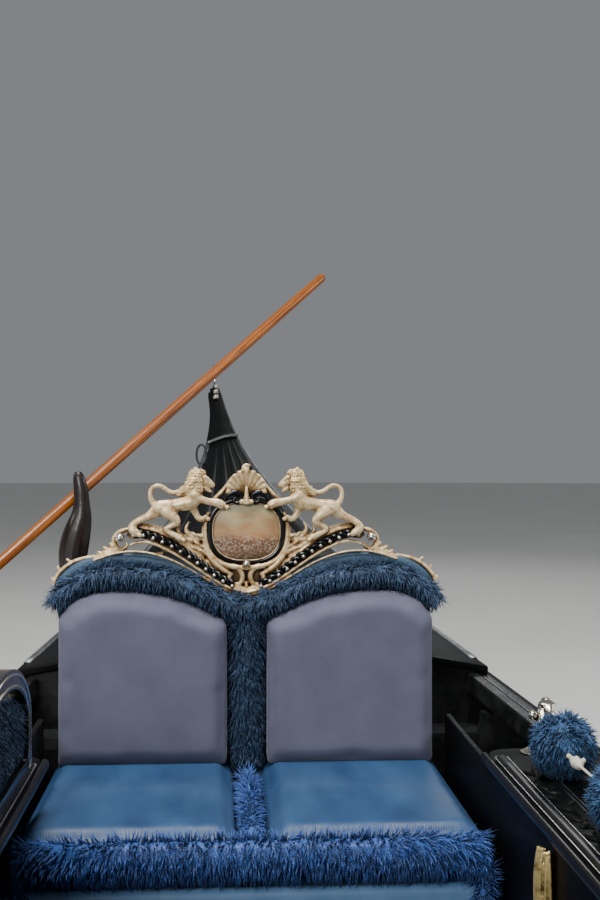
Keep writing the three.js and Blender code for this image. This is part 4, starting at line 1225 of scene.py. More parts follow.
@dataclass(frozen=True)
class Loveseat:
    """The double seat: padded back and cushions, long-pile trim, satin apron, lacquered base."""

    back_line: tuple[Row, ...] = (
        (0.0, 0.680), (0.061, 0.706), (0.122, 0.736), (0.180, 0.754), (0.235, 0.763),
        (0.290, 0.766), (0.342, 0.763), (0.390, 0.745), (0.422, 0.706),
    )
    board_face: float = -0.9546
    roll_middle: float = -0.915
    seat_top: float = 0.338
    fur_front: float = -0.326
    fur_out: float = 0.419
    roll_dip: float = 0.016
    dip_reach: float = 0.12

    def build(self) -> None:
        """Makes the whole seat."""
        self.add_back_fur()
        self.add_seat_fur()
        self.add_pads()
        self.add_cover_roll()

    def add_pads(self) -> None:
        """Fills the two back pads in velvet and the two seat cushions and the apron in satin."""
        for side in Side:
            name = "back_pad_" + side.word
            filling = Stuffing(cap=0.016, rest_axis=Axis.ALONG, rest_at=self.board_face)
            piece = stuffed(name, "velvet_" + name, GREY_VELVET, 0.004, filling)
            name = "seat_cushion_" + side.word
            filling = Stuffing(cap=0.02, rest_at=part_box(name)[0][2])
            piece = stuffed(name, "satin_" + name, SEAT_SATIN, 0.006, filling)
        name = "seat_apron"
        filling = Stuffing(voxel=0.012, cap=0.005, rest_axis=Axis.ALONG, rest_at=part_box(name)[0][0])
        # The apron gets the paler copy of the seat satin: painted light.
        piece = stuffed(name, "satin_apron", APRON_SATIN_LIT, 0.003, filling)

    def add_cover_roll(self) -> None:
        """Rolls the satin cover over the top edge of the back board, between fur and carving."""
        line = []
        for y, z in self.whole_back_line():
            dip = self.roll_dip * max(0.0, 1 - abs(y) / self.dip_reach)
            line.append((-0.9640, y, z + 0.030 - dip))
        new_piece(oval_bar(line, 0.017, 0.0165, 5), "back_cover_roll", FOLD_SATIN)

    def whole_back_line(self) -> list[tuple[float, float]]:
        """The fur's middle line from starboard to port, as rows of y and z."""
        return [(-y, z) for y, z in self.back_line[:0:-1]] + list(self.back_line)

    def add_back_fur(self) -> None:
        """Sews the long pile along the top of the back and down its middle seam."""
        line = [(self.roll_middle, y, z - 0.004) for y, z in self.whole_back_line()]
        band = oval_bar(line, 0.034, 0.018, 4)
        heights = (self.seat_top + 0.012, 0.45, 0.56, 0.66)
        strip = oval_bar([(self.roll_middle, 0, z) for z in heights], 0.030, 0.032)
        pelt = Pelt(length=0.030, radius=0.0022, per_area=33000, comb=(0.25, 0.0, -0.75), unruly=1.8,
                    swirl=42, seed=11)
        pelt.grow(joined([band, strip]), "back_fur_pile", NAVY_FUR, replaces=["back_fur"])

    def add_seat_fur(self) -> None:
        """Sews brighter pile along the front edge of the seat, down its corners and on its seam."""
        front, top = self.fur_front - 0.024, 0.307
        band = oval_bar([(front, y, top) for y in (-0.418, -0.2, 0.0, 0.2, 0.418)], 0.024, 0.030)
        legs = [Line([(front, side.value * self.fur_out, z) for z in (0.07, 0.15, 0.28)]) for side in Side]
        posts = drawn(legs, 0.0, 3, 0, (0.014, 0.012))
        seam = oval_bar([(x, 0.0, 0.318) for x in (-0.84, -0.6, -0.37)], 0.014, 0.014)
        pelt = Pelt(length=0.028, radius=0.0022, per_area=33000, comb=(0.15, 0.0, -0.5), unruly=1.8,
                    swirl=42, seed=23)
        pelt.grow(joined([band, posts, seam]), "seat_fur_pile", ROYAL_FUR, replaces=["seat_fur"])


# The carved crest on top of the seat back.


def fused(parts: Iterable[Mesh], voxel: float, smoothing: int = 3) -> Mesh:
    """Melts overlapping bodies into one modelled form.

    Args:
        parts: closed bodies, which are freed.
        voxel: size of the new surface's squares, in metres.
        smoothing: rounds of smoothing.

    Returns:
        The single closed form.
    """
    rough = scratch(joined(parts))
    add_modifier(rough, "REMESH", mode="VOXEL", voxel_size=voxel)
    add_modifier(rough, "SMOOTH", factor=0.5, iterations=smoothing)
    return settled(rough)


def ball(middle: Row, radius: float, detail: int = 2) -> Mesh:
    """Makes a round ball of small triangles.

    Args:
        middle: its place.
        radius: its radius.
        detail: steps of subdivision.

    Returns:
        The ball.
    """
    bm = bmesh.new()
    bmesh.ops.create_icosphere(bm, subdivisions=detail, radius=radius, matrix=Matrix.Translation(middle))
    return bm


@dataclass(frozen=True)
class Crest:
    """The pierced and gilded carving: shell, medallion, scrolls, pearled rope and two lions.

    Its tables are in millimetres on the carving's own plane: y to port, z up, and a bar's half
    width. They hold the port half, which is mirrored for the starboard half.
    """

    face: float = -0.9555
    board_back: float = 0.024
    board_thick: float = 0.020
    melt: float = 0.0020
    fine_melt: float = 0.0018
    # Height of the medallion's middle, half width and half height.
    medallion: Point = (0.856, 0.083, 0.072)
    squareness: float = 2.5
    dome_back: float = -0.020
    backing: tuple[Row, ...] = (
        (0, 704), (32, 712), (60, 729), (98, 757), (124, 779), (163, 802), (188, 812), (206, 832), (240, 841),
        (262, 838), (272, 846), (268, 860), (240, 872), (215, 872), (182, 863), (158, 851), (140, 846),
        (128, 832), (108, 832), (96, 848), (60, 860), (0, 860),
    )
    scrolls: tuple[tuple[Point, ...], ...] = (
        ((32, 980, 4), (38, 968, 5), (47, 956, 5), (58, 944, 5), (70, 932, 6), (80, 922, 5)),
        ((98, 868, 3), (98, 846, 5), (93, 820, 7), (83, 798, 9), (67, 779, 10), (49, 765, 9), (33, 758, 5)),
        ((44, 777, 5), (27, 779, 8), (14, 771, 8), (7, 756, 7), (10, 741, 6), (18, 733, 6), (25, 738, 4)),
        ((30, 762, 4), (42, 755, 7), (41, 744, 7), (31, 734, 7), (16, 726, 7), (0, 722, 7)),
        ((98, 838, 2), (112, 838, 5), (128, 836, 6), (146, 838, 6), (160, 846, 6), (176, 854, 6),
         (196, 862, 6)),
        ((96, 812, 3), (110, 816, 5), (124, 822, 6), (142, 832, 6), (158, 840, 5)),
        ((86, 784, 3), (98, 788, 5), (112, 800, 5), (124, 808, 5), (136, 818, 5)),
        ((52, 750, 4), (79, 773, 6), (108, 797, 7), (142, 824, 7), (182, 850, 7), (219, 864, 8),
         (250, 867, 6)),
        ((100, 800, 2), (146, 837, 2), (182, 861, 2), (215, 873, 2), (250, 876, 2)),
        ((130, 879, 2), (139, 866, 4), (138, 853, 5), (126, 843, 5), (108, 839, 4), (97, 838, 2)),
        ((150, 872, 2), (158, 864, 4), (155, 852, 5), (142, 843, 5), (126, 834, 4), (104, 829, 3)),
        ((96, 800, 2), (106, 806, 4), (113, 815, 5), (110, 824, 3)),
        ((92, 792, 2), (100, 796, 4), (104, 804, 3)),
        ((258, 862, 4), (276, 862, 6), (294, 852, 6), (301, 836, 7), (296, 820, 6), (283, 815, 5),
         (271, 820, 5), (268, 828, 4), (275, 832, 2)),
        ((290, 817, 7), (306, 813, 9), (322, 806, 9), (338, 799, 7), (354, 790, 4)),
        ((300, 824, 2), (316, 817, 4), (331, 806, 3), (340, 800, 2)),
        ((346, 800, 4), (380, 796, 5), (408, 780, 5), (428, 758, 5), (436, 738, 5), (430, 724, 4),
         (422, 732, 3)),
        ((430, 722, 4), (440, 708, 5), (434, 696, 5), (424, 700, 4), (426, 710, 3)),
    )
    mouldings: tuple[tuple[Point, ...], ...] = (
        ((0, 717, 5), (40, 726, 5), (72, 745, 4), (101, 766, 4), (134, 788, 4), (162, 807, 4), (195, 824, 4),
         (223, 835, 4), (250, 834, 4), (264, 826, 3)),
        ((0, 709, 3), (42, 718, 3), (76, 737, 3), (106, 758, 3), (138, 777, 3), (166, 792, 3), (198, 803, 3),
         (228, 811, 3), (266, 813, 3), (300, 809, 3), (346, 792, 3)),
    )
    # The shell: hinge ahead of the face and its height, step between flutes in degrees, the middle
    # flute's length, what each next one is shorter by, and a flute's half widths.
    shell_hinge: tuple[float, float] = (-0.006, 0.934)
    flute_step: float = 14.5
    flute_reach: float = 0.066
    flute_loss: float = 0.0035
    flute_widths: Row = (0.0022, 0.0045, 0.0075, 0.0062)
    # The curl over the shell and the stem under it, each with its distance ahead of the face.
    curls: tuple[tuple[float, tuple[Point, ...]], ...] = (
        (0.004, ((8, 1004, 4), (2, 1008, 5), (-6, 1006, 5), (-9, 999, 4), (-4, 996, 3))),
        (0.013, ((0, 918, 8), (0, 930, 6), (0, 944, 5), (0, 960, 3))),
    )
    # Leaf lobes: y, z, lean in degrees and size.
    lobes: tuple[Row, ...] = (
        (0, 733, 0, 9), (104, 846, -70, 9), (118, 849, -50, 8), (131, 853, -30, 7), (101, 812, -60, 8),
        (112, 830, -60, 9), (122, 820, -70, 8), (99, 822, -80, 7), (140, 834, -60, 7), (95, 806, -50, 7),
        (88, 786, -50, 7), (72, 768, -50, 8), (58, 752, -50, 7), (46, 742, -45, 7), (152, 838, -60, 6),
        (302, 824, -50, 9), (316, 817, -60, 9), (330, 808, -60, 8), (342, 800, -60, 7), (14, 714, -70, 8),
        (152, 815, -55, 7), (140, 808, -55, 8), (126, 798, -55, 8), (164, 824, -55, 6), (114, 788, -50, 7),
        (402, 792, -50, 6), (424, 774, -30, 6), (438, 748, -10, 6), (84, 806, -20, 8), (90, 826, -10, 7),
    )
    volute: tuple[Point, ...] = (
        (54, 922, 3), (46, 936, 5), (36, 944, 7), (25, 946, 7), (16, 942, 6), (11, 934, 5), (13, 925, 5),
        (21, 920, 5), (29, 924, 4), (29, 932, 4), (22, 933, 3),
    )
    rope: tuple[Row, ...] = (
        (30, 737), (56, 751), (93, 778), (121, 800), (162, 826), (203, 845), (239, 855), (262, 853),
    )
    strand_step: float = 0.004
    strand_turn: float = 0.034
    strand_off: float = 0.0042
    strand_radius: float = 0.0048
    pearl_pitch: float = 0.0235
    pearl_radius: float = 0.0048
    ball_at: Point = (286, 843, 11)
    lion_plane: float = -0.9425
    lion_depth: float = 0.74
    # A lion's limbs: distance from its middle plane, y, z and half thickness.
    limbs: tuple[tuple[Row, ...], ...] = (
        ((0, 116, 934, 19), (0, 127, 923, 19), (0, 141, 920, 17), (0, 156, 917, 15), (0, 171, 915, 14),
         (0, 186, 913, 17), (0, 197, 910, 18)),
        ((0, 110, 966, 15), (0, 117, 954, 17), (0, 121, 942, 17)),
        ((0, 101, 974, 13), (2, 94, 972, 12), (2, 87, 967, 10), (2, 81, 963, 9), (2, 78, 962, 7)),
        ((2, 94, 956, 7), (2, 87, 951, 6), (2, 82, 948, 4)),
        ((8, 119, 938, 14), (9, 109, 932, 10), (10, 98, 928, 8), (10, 86, 925, 8), (10, 72, 923, 9),
         (9, 63, 921, 11), (9, 56, 917, 10)),
        ((-7, 123, 916, 12), (-7, 118, 903, 8), (-6, 112, 892, 7), (-5, 106, 883, 7), (-3, 98, 885, 7),
         (-2, 92, 889, 6)),
        ((-4, 199, 907, 17), (-5, 211, 897, 13), (-4, 224, 889, 9), (-3, 240, 884, 8), (-1, 252, 876, 8),
         (0, 260, 866, 10), (2, 257, 858, 11), (3, 247, 853, 9)),
        ((5, 184, 905, 15), (8, 170, 896, 14), (10, 159, 885, 10), (10, 155, 877, 8), (9, 166, 872, 7),
         (8, 178, 866, 7), (8, 183, 860, 6), (8, 172, 853, 6), (9, 160, 848, 7), (10, 149, 842, 8)),
        ((0, 207, 917, 8), (0, 216, 928, 6), (0, 219, 942, 5), (0, 215, 955, 5), (0, 205, 961, 5),
         (0, 194, 961, 5), (0, 184, 954, 5), (0, 173, 946, 5), (0, 162, 943, 6), (0, 153, 947, 6),
         (0, 148, 952, 4)),
        ((10, 95, 980, 6), (10, 90, 978, 5), (9, 86, 974, 4)), ((8, 105, 985, 5), (8, 108, 990, 3)),
    )
    paws: tuple[Point, ...] = ((12, 46, 913), (0, 88, 886), (4, 242, 850), (12, 144, 839))
    mane: tuple[Point, ...] = (
        (110, 985, 15), (119, 973, 17), (126, 960, 16), (137, 952, 12), (147, 946, 8), (109, 955, 14),
        (101, 988, 10), (154, 942, 5), (128, 944, 12), (107, 971, 15.5), (116, 944, 12),
    )

    def build(self) -> None:
        """Makes the carving."""
        self.add_backing()
        self.add_scrollwork()
        self.add_shell()
        self.add_rope()
        self.add_medallion()
        for side in Side:
            self.add_lion(side)
        new_piece(self.bars([self.volute], 0.006, 6), "crest_volutes", HULL_GLOSS)

    def bars(self, tables: Iterable[Iterable[Row]], out: float, smooth: int = 4) -> Mesh:
        """Draws rows of y, z and half width as bars on the carving's face, on both sides of the middle.

        Args:
            tables: the rows of each bar, for the port half.
            out: how far their middles stand ahead of the face.
            smooth: steps between two rows.

        Returns:
            The bars' mesh.
        """
        lines = []
        for rows in tables:
            for side in Side:
                places = [(self.face + out, side.value * y * MM, z * MM) for y, z, _ in rows]
                lines.append(Line(places, [width * MM for _, _, width in rows]))
        return drawn(lines, 1.0, 2, smooth)

    def add_backing(self) -> None:
        """Saws the pierced and gilded board that the carving is glued on."""
        bm = bmesh.new()
        outline = list(self.backing) + [(-y, z) for y, z in self.backing[-2:0:-1]]
        back = self.face - self.board_back
        board = bm.faces.new([bm.verts.new((back, y * MM, z * MM)) for y, z in outline])
        grown = bmesh.ops.extrude_face_region(bm, geom=[board])["geom"]
        moved = [item for item in grown if isinstance(item, bmesh.types.BMVert)]
        bmesh.ops.translate(bm, verts=moved, vec=(self.board_thick, 0, 0))
        bmesh.ops.triangulate(bm, faces=bm.faces)
        bmesh.ops.recalc_face_normals(bm, faces=bm.faces)
        new_piece(bm, "crest_board", GROUND_GOLD, angle=CRISP, replaces=["crest_pediment"])

    def add_scrollwork(self) -> None:
        """Carves the scrolls, leaves and mouldings, and melts them into one skin."""
        parts = [self.bars(self.scrolls, 0.001), self.bars(self.mouldings, 0.011)]
        for y, z, turn, size in self.lobes:
            for side in Side:
                lobe = ball((0, 0, 0), 1.0)
                place = Matrix.Translation((self.face, side.value * y * MM, z * MM))
                lean = Matrix.Rotation(math.radians(side.value * turn), 4, "X")
                shape = Matrix.Diagonal((size * MM, size * 0.52 * MM, size * 1.25 * MM, 1))
                bmesh.ops.transform(lobe, matrix=place @ lean @ shape, verts=lobe.verts)
                parts.append(lobe)
        new_piece(fused(parts, self.melt, 1), "crest_scrollwork", CREAM_CARVING)

    def add_shell(self) -> None:
        """Carves the fluted shell over the medallion, with its stem and a curl at the top."""
        parts = []
        hinge = Vector((self.face + self.shell_hinge[0], 0.0, self.shell_hinge[1]))
        for step in range(-5, 6):
            turn = math.radians(step * self.flute_step)
            reach = self.flute_reach - self.flute_loss * abs(step)
            ray = Vector((0.0, math.sin(turn), math.cos(turn)))
            places = [tuple(hinge + ray * reach * part + Vector((0.014 * part, 0, 0)))
                      for part in (0.1, 0.45, 0.8, 1.0)]
            parts.append(drawn([Line(places, self.flute_widths)], 1.0, 2, 4))
        for out, curl in self.curls:
            parts.append(tapered(curl, lambda y, z: (self.face + out, y * MM, z * MM)))
        for side in Side:
            parts.append(ball((self.face + 0.01, side.value * 0.011, 0.924), 0.0065))
        new_piece(fused(parts, self.fine_melt, 1), "crest_shell_flutes", CREAM_CARVING,
                  replaces=["crest_shell"])

    def add_rope(self) -> None:
        """Twists the black rope, sets its pearls, and hangs the balls at its ends and middle."""
        strands, pearls = [], []
        forward = Vector((1, 0, 0))
        for side in Side:
            path = [Vector((self.face + 0.007, side.value * y * MM, z * MM)) for y, z in self.rope]
            for phase in (0.0, math.pi):
                places = []
                for count, (place, ahead) in enumerate(evenly(path, self.strand_step)):
                    turn = count * self.strand_step / self.strand_turn * 2 * math.pi + phase
                    across = ahead.cross(forward)
                    places.append(tuple(place + forward * self.strand_off * math.cos(turn)
                                        + across * self.strand_off * math.sin(turn)))
                strands.append(Line(places, [self.strand_radius] * len(places)))
            for place, ahead in evenly(path, self.pearl_pitch):
                below = ahead.cross(forward) * side.value
                pearls.append(ball(place + below * 0.0055 + forward * 0.0075, self.pearl_radius))
            y, z, size = self.ball_at
            pearls.append(ball((self.face + 0.012, side.value * y * MM, z * MM), size * MM, 3))
        pearls.append(ball((self.face + 0.010, 0.0, 0.782), 0.009, 3))
        new_piece(drawn(strands, 1.0, 1), "crest_rope", HULL_GLOSS)
        new_piece(joined(pearls), "crest_pearls", PEARL)

    def oval(self, grow: float, count: int = 72) -> list[Point]:
        """Points round the medallion, a squared oval on the carving's face.

        Args:
            grow: how far outside the medallion's line they lie.
            count: number of points.

        Returns:
            The points.
        """
        z, wide, high = self.medallion
        points = []
        for turn in (2 * math.pi * i / count for i in range(count)):
            c, s = math.cos(turn), math.sin(turn)
            bulge = (abs(c) ** self.squareness + abs(s) ** self.squareness) ** (-1 / self.squareness)
            points.append((self.face, (wide + grow) * c * bulge, z + (high + grow) * s * bulge))
        return points

    def add_medallion(self) -> None:
        """Frames the domed painted oval in a black ring between two pale beads."""
        ring = drawn([Line(self.oval(0.0), closed=True)], 0.0, 3, 0, (0.0052, 0.0080))
        new_piece(ring, "medallion_ring", HULL_GLOSS, replaces=["medallion_frame"])
        # The outer bead is left open at the top: the run starts after the jump from one end to the other.
        lower = [(x, y, z) for x, y, z in self.oval(0.0105) if z < 0.905]
        pairs = enumerate(zip(lower, lower[1:]), 1)
        start = next(i for i, (first, second) in pairs if first[1] - second[1] > 0.05)
        run = lower[start:] + lower[:start]
        widths = [0.0034 + 0.0034 * math.sin(math.pi * i / (len(run) - 1)) for i in range(len(run))]
        bead = drawn([Line(run, widths), Line(self.oval(-0.006), [0.0014] * 72, True)], 1.0, 2)
        bmesh.ops.translate(bead, verts=bead.verts, vec=(0.003, 0, 0))
        new_piece(bead, "medallion_beads", CREAM_CARVING)
        # The dome grows from its back in steps: height ahead of the face, and share of the full size.
        dome = bmesh.new()
        front = dome.faces.new([dome.verts.new(point) for point in self.oval(-0.005)])
        bmesh.ops.translate(dome, verts=front.verts, vec=(self.dome_back, 0, 0))
        centred = Matrix.Translation((0, 0, -self.medallion[0]))
        height, size = self.dome_back, 1.0
        for part in (1.0, 0.92, 0.8, 0.6, 0.4, 0.2):
            rise = 0.004 - 0.006 * part**2.4
            grown = bmesh.ops.extrude_face_region(dome, geom=[front])["geom"]
            bmesh.ops.delete(dome, geom=[front] if part < 1 else [], context="FACES_ONLY")
            front = next(item for item in grown if isinstance(item, bmesh.types.BMFace))
            bmesh.ops.translate(dome, verts=front.verts, vec=(rise - height, 0, 0))
            share = part / size
            bmesh.ops.scale(dome, verts=front.verts, vec=(1, share, share), space=centred)
            height, size = rise, part
        middle = bmesh.ops.poke(dome, faces=[front])["verts"][0]
        middle.co.x = self.face + 0.003
        bmesh.ops.recalc_face_normals(dome, faces=dome.faces)
        new_piece(dome, "medallion_dome", PANEL_PAINTING, angle=60, replaces=["medallion_panel"])

    def add_lion(self, side: Side) -> None:
        """Models a lion that holds the medallion with its forepaws and stands on the rope.

        Args:
            side: which lion.
        """

        def at(out: float, y: float, z: float) -> Point:
            """A place on this lion, from millimetres."""
            return (self.lion_plane + out * MM, side.value * y * MM, z * MM)

        parts = []
        for limb in self.limbs:
            parts.append(tapered(limb, at, 3))
            parts += [ball(at(*row[:3]), row[3] * MM * 0.98) for row in (limb[0], limb[-1])]
        for out, y, z in self.paws:
            parts += [ball(at(out + toe, y - 2, z - 1), 0.0052) for toe in (-8, 0, 8)]
        mane = [ball(at(0, y, z), size * MM) for y, z, size in self.mane] + self.locks(at)
        name = "crest_lion_" + side.word
        rows = ((parts, CREAM_CARVING, "carved_", [name]), (mane, MANE_GOLD, "mane_", []))
        for bodies, finish, stem, nodes in rows:
            form = fused(bodies, self.fine_melt, 1)
            for vert in form.verts:
                vert.co.x = self.lion_plane + (vert.co.x - self.lion_plane) * self.lion_depth
            new_piece(form, stem + name, finish, replaces=nodes)

    def locks(self, at: Callable[[float, float, float], Point]) -> list[Mesh]:
        """Short curled locks that lie all over the mane, on both of its faces.

        Args:
            at: turns a distance out, y and z in millimetres into a place on the lion's side.

        Returns:
            The locks.
        """
        def height(y: float, z: float) -> float:
            """How far the mane's balls stand out there."""
            return max(math.sqrt(max(size**2 - (y - my) ** 2 - (z - mz) ** 2, 0.0))
                       for my, mz, size in self.mane)

        chance = random.Random(5)
        found = []
        for row in range(12):
            for column in range(12):
                y = 92 + column * 6.0 + 3.0 * (row % 2) + chance.uniform(-1, 1)
                z = 934 + row * 6.0 + chance.uniform(-1, 1)
                if height(y, z) < 3 or (y < 97 and z < 982):
                    continue
                away = math.atan2(y - 90, z - 962) + chance.uniform(-0.3, 0.3)
                bend = away + 1.3
                for face in (1, -1):
                    rows = [(face * (height(y, z) + 0.8), y, z)]
                    for reach, turn in ((4.5, away), (3.5, bend)):
                        _, y0, z0 = rows[-1]
                        y1, z1 = y0 + reach * math.sin(turn), z0 + reach * math.cos(turn)
                        rows.append((face * (height(y1, z1) + 0.8), y1, z1))
                    places = [at(*row) for row in rows]
                    found.append(drawn([Line(places, (0.0030, 0.0028, 0.0014))], 1.0, 1, 3))
        return found


def evenly(path: Sequence[Vector], step: float) -> list[tuple[Vector, Vector]]:
    """Points at even steps along a line, with the line's direction at each.

    Args:
        path: corners of the line.
        step: distance between points.

    Returns:
        Pairs of place and direction.
    """
    found = []
    left = 0.0
    for first, second in zip(path, path[1:]):
        length = (second - first).length
        ahead = (second - first) / length
        while left < length:
            found.append((first + ahead * left, ahead))
            left += step
        left -= length
    return found


# Cockpit sides: mouldings, carved foliage, pompoms, sea horses and gilt brackets.


@dataclass(frozen=True)
class CockpitSide:
    """Dress of one side deck: silvered beads, a raised rail, foliage and ornaments."""

    side: Side
    aft: float = -0.43
    fore: float = 1.12
    deck: float = 0.0244
    rail_out: float = 0.416
    foliage_out: float = 0.462
    line_out: float = 0.500
    edge_out: float = 0.640
    pompoms: tuple[float, ...] = (-0.3, 0.05, 0.4)
    garland_out: float = 0.522
    garland_height: float = 0.512
    pompom_core: float = 0.050
    cord_drop: float = -0.012
    horse_at: float = -0.48
    horse_out: float = 0.536
    # How much the cast horse is widened and lowered about its foot.
    horse_wide: float = 1.45
    horse_low: float = 0.72
    bead_start: float = -0.50
    bead_width: float = 0.0013
    bead_height: float = 0.0005
    rail_half: float = 0.012
    rail_beads: float = 0.004
    leaf_pitch: float = 0.19
    # Squares of the melted skins of leaves, knots, horse and bracket.
    leaf_melt: float = 0.0028
    knot_melt: float = 0.0025
    horse_melt: float = 0.0019
    bracket_melt: float = 0.0018
    # A leaf stem's rows: part of the pitch, part of the band's half width, half thickness.
    stem: tuple[Point, ...] = (
        (0.0, -0.5, 4), (0.2, -0.4, 5), (0.42, 0.1, 6), (0.66, 0.5, 6), (0.86, 0.3, 5), (0.8, -0.1, 4),
    )
    # Leaves: part of the pitch, part of the band's half width, lean in degrees and half length.
    leaves: tuple[Row, ...] = (
        (0.12, -0.65, 48, 20), (0.28, 0.5, -34, 22), (0.45, -0.4, 30, 23), (0.60, 0.75, 12, 20),
        (0.80, 0.6, -36, 21), (0.74, -0.55, 24, 22), (0.96, 0.1, -58, 18),
    )
    # The horse's body and its tail's curl: x and z from its foot, and half thickness.
    horse_body: tuple[Point, ...] = (
        (-16, 10, 7), (-34, 14, 8), (-38, 34, 9), (-22, 50, 11), (2, 60, 13), (16, 76, 14), (12, 98, 13),
        (-2, 114, 11), (2, 132, 10), (18, 140, 9), (30, 130, 8), (40, 118, 5),
    )
    horse_curl: tuple[Point, ...] = (
        (-16, 10, 7), (4, 10, 7), (16, 22, 6), (8, 34, 5), (-4, 28, 4), (0, 20, 4),
    )
    # The bracket's swell: part of its height and share of its full width.
    swell: tuple[Row, ...] = (
        (0.0, 0.6), (0.06, 0.8), (0.14, 0.85), (0.3, 0.9), (0.55, 0.95), (0.75, 1.0), (0.9, 1.05), (1.0, 0.8),
    )

    def build(self) -> None:
        """Dresses the deck."""
        self.add_beads()
        self.add_rail()
        self.add_foliage()
        self.add_pompoms()
        self.add_sea_horse()
        self.add_bracket()

    def place(self, x: float, out: float, above: float = 0.0) -> Point:
        """A place along the deck, outboard of the hull's middle and above the deck."""
        return (x, HULL.centre(x) + self.side.value * out, HULL.sheer(x) + self.deck + above)

    def run(self, out: float, above: float, aft: float, fore: float, count: int = 24) -> list[Point]:
        """Points along the deck at one distance outboard of the hull's middle."""
        xs = [aft + (fore - aft) * i / count for i in range(count + 1)]
        return [self.place(x, min(out, HULL.beam(x) - 0.012), above) for x in xs]

    def add_beads(self) -> None:
        """Runs silvered beads along the rail, round its after end and along the deck."""
        half, above, middle = self.rail_half, self.rail_beads, self.rail_out + 2 * self.rail_half
        inner = self.run(self.rail_out + half, above, self.aft, self.fore)
        outer = self.run(self.rail_out + 3 * half, above, self.aft, self.fore)
        bend = [self.place(self.aft - half * math.sin(turn), middle - half * math.cos(turn), above)
                for turn in (math.pi * i / 8 for i in range(9))]
        lines = [Line(inner[::-1] + bend[1:-1] + outer)]
        for out in (self.line_out, self.line_out + 0.008, self.edge_out):
            lines.append(Line(self.run(out, self.bead_height, self.bead_start, self.fore)))
        new_piece(drawn(lines, self.bead_width, 2), "deck_beads_" + self.side.word, BEAD_METAL)

    def add_rail(self) -> None:
        """Raises the black rail between the two inner beads, with a half round inner edge."""
        top = self.run(self.rail_out + 2 * self.rail_half, 0.001, self.aft, self.fore)
        rail = oval_bar(top, 0.0115, 0.009)
        inboard = self.run(self.rail_out + 0.004, -0.010, self.bead_start + 0.01, self.fore)
        edge = oval_bar(inboard, 0.008, 0.011)
        new_piece(joined([rail, edge]), "deck_rail_" + self.side.word, RAIL_GLOSS)

    def add_foliage(self) -> None:
        """Carves a running scroll of broad, low black leaves between rail and beads."""
        parts = []
        for step in range(int((self.fore - self.aft - 0.06) / self.leaf_pitch)):
            start, flip = self.aft + 0.05 + step * self.leaf_pitch, 1 if step % 2 else -1

            def spot(part: float, across: float) -> Point:
                """A place on this length of the scroll."""
                out = self.foliage_out + 0.014 + flip * across * 0.020
                return self.place(start + part * self.leaf_pitch, out)

            parts.append(tapered(self.stem, spot, 1, 3))
            for part, across, lean, length in self.leaves:
                leaf = ball((0, 0, 0), 1.0)
                turn = Matrix.Rotation(math.radians(flip * self.side.value * lean), 4, "Z")
                shape = Matrix.Diagonal((length * MM, 0.0085, 0.0060, 1))
                bmesh.ops.transform(leaf, matrix=Matrix.Translation(spot(part, across)) @ turn @ shape,
                                    verts=leaf.verts)
                parts.append(leaf)
        new_piece(fused(parts, self.leaf_melt, 3), "deck_foliage_" + self.side.word, DECK_GLOSS)

    def add_pompoms(self) -> None:
        """Hangs the row of pompoms on the deck, with silk knots between them."""
        across = HULL.centre(0) + self.side.value * self.garland_out
        line = [(x, across, self.garland_height) for x in self.pompoms]
        cores = [ball(place, self.pompom_core, 3) for place in line]
        pelt = Pelt(length=0.019, radius=0.0027, per_area=46000, comb=(0, 0, -0.6), unruly=3.6, swirl=46,
                    seed=31)
        name = "pompom_garland_" + self.side.word
        pelt.grow(joined(cores), "wool_" + name, POMPOM_WOOL, replaces=[name])
        cord = [tuple(Vector(place) + Vector((reach, 0, self.cord_drop)))
                for place, reach in ((line[0], -0.11), (line[-1], 0.11))]
        knots = [drawn([Line(cord)], 0.0028, 2)]
        for place in (Vector(point) for point in line):
            for reach in (-0.082, 0.082):
                for step, size in ((-1.4, 8), (0, 11), (1.3, 9)):
                    knots.append(ball(place + Vector((reach + 0.011 * step, 0, self.cord_drop)), size * MM))
                    small = Vector((reach + 0.012 * step, 0.006 * step, -0.004))
                    knots.append(ball(place + small, 0.005))
        new_piece(fused(knots, self.knot_melt, 1), "silk_knots_" + self.side.word, SILK)

    def add_sea_horse(self) -> None:
        """Casts the rearing sea horse: coiled tail, arched and ribbed body, bent head and crest."""
        base = Vector(self.place(self.horse_at, self.horse_out, 0.001))

        def at(x: float, z: float, out: float = 0.0) -> Point:
            """A place on this horse, from millimetres."""
            return tuple(base + Vector((x, out, z)) * MM)

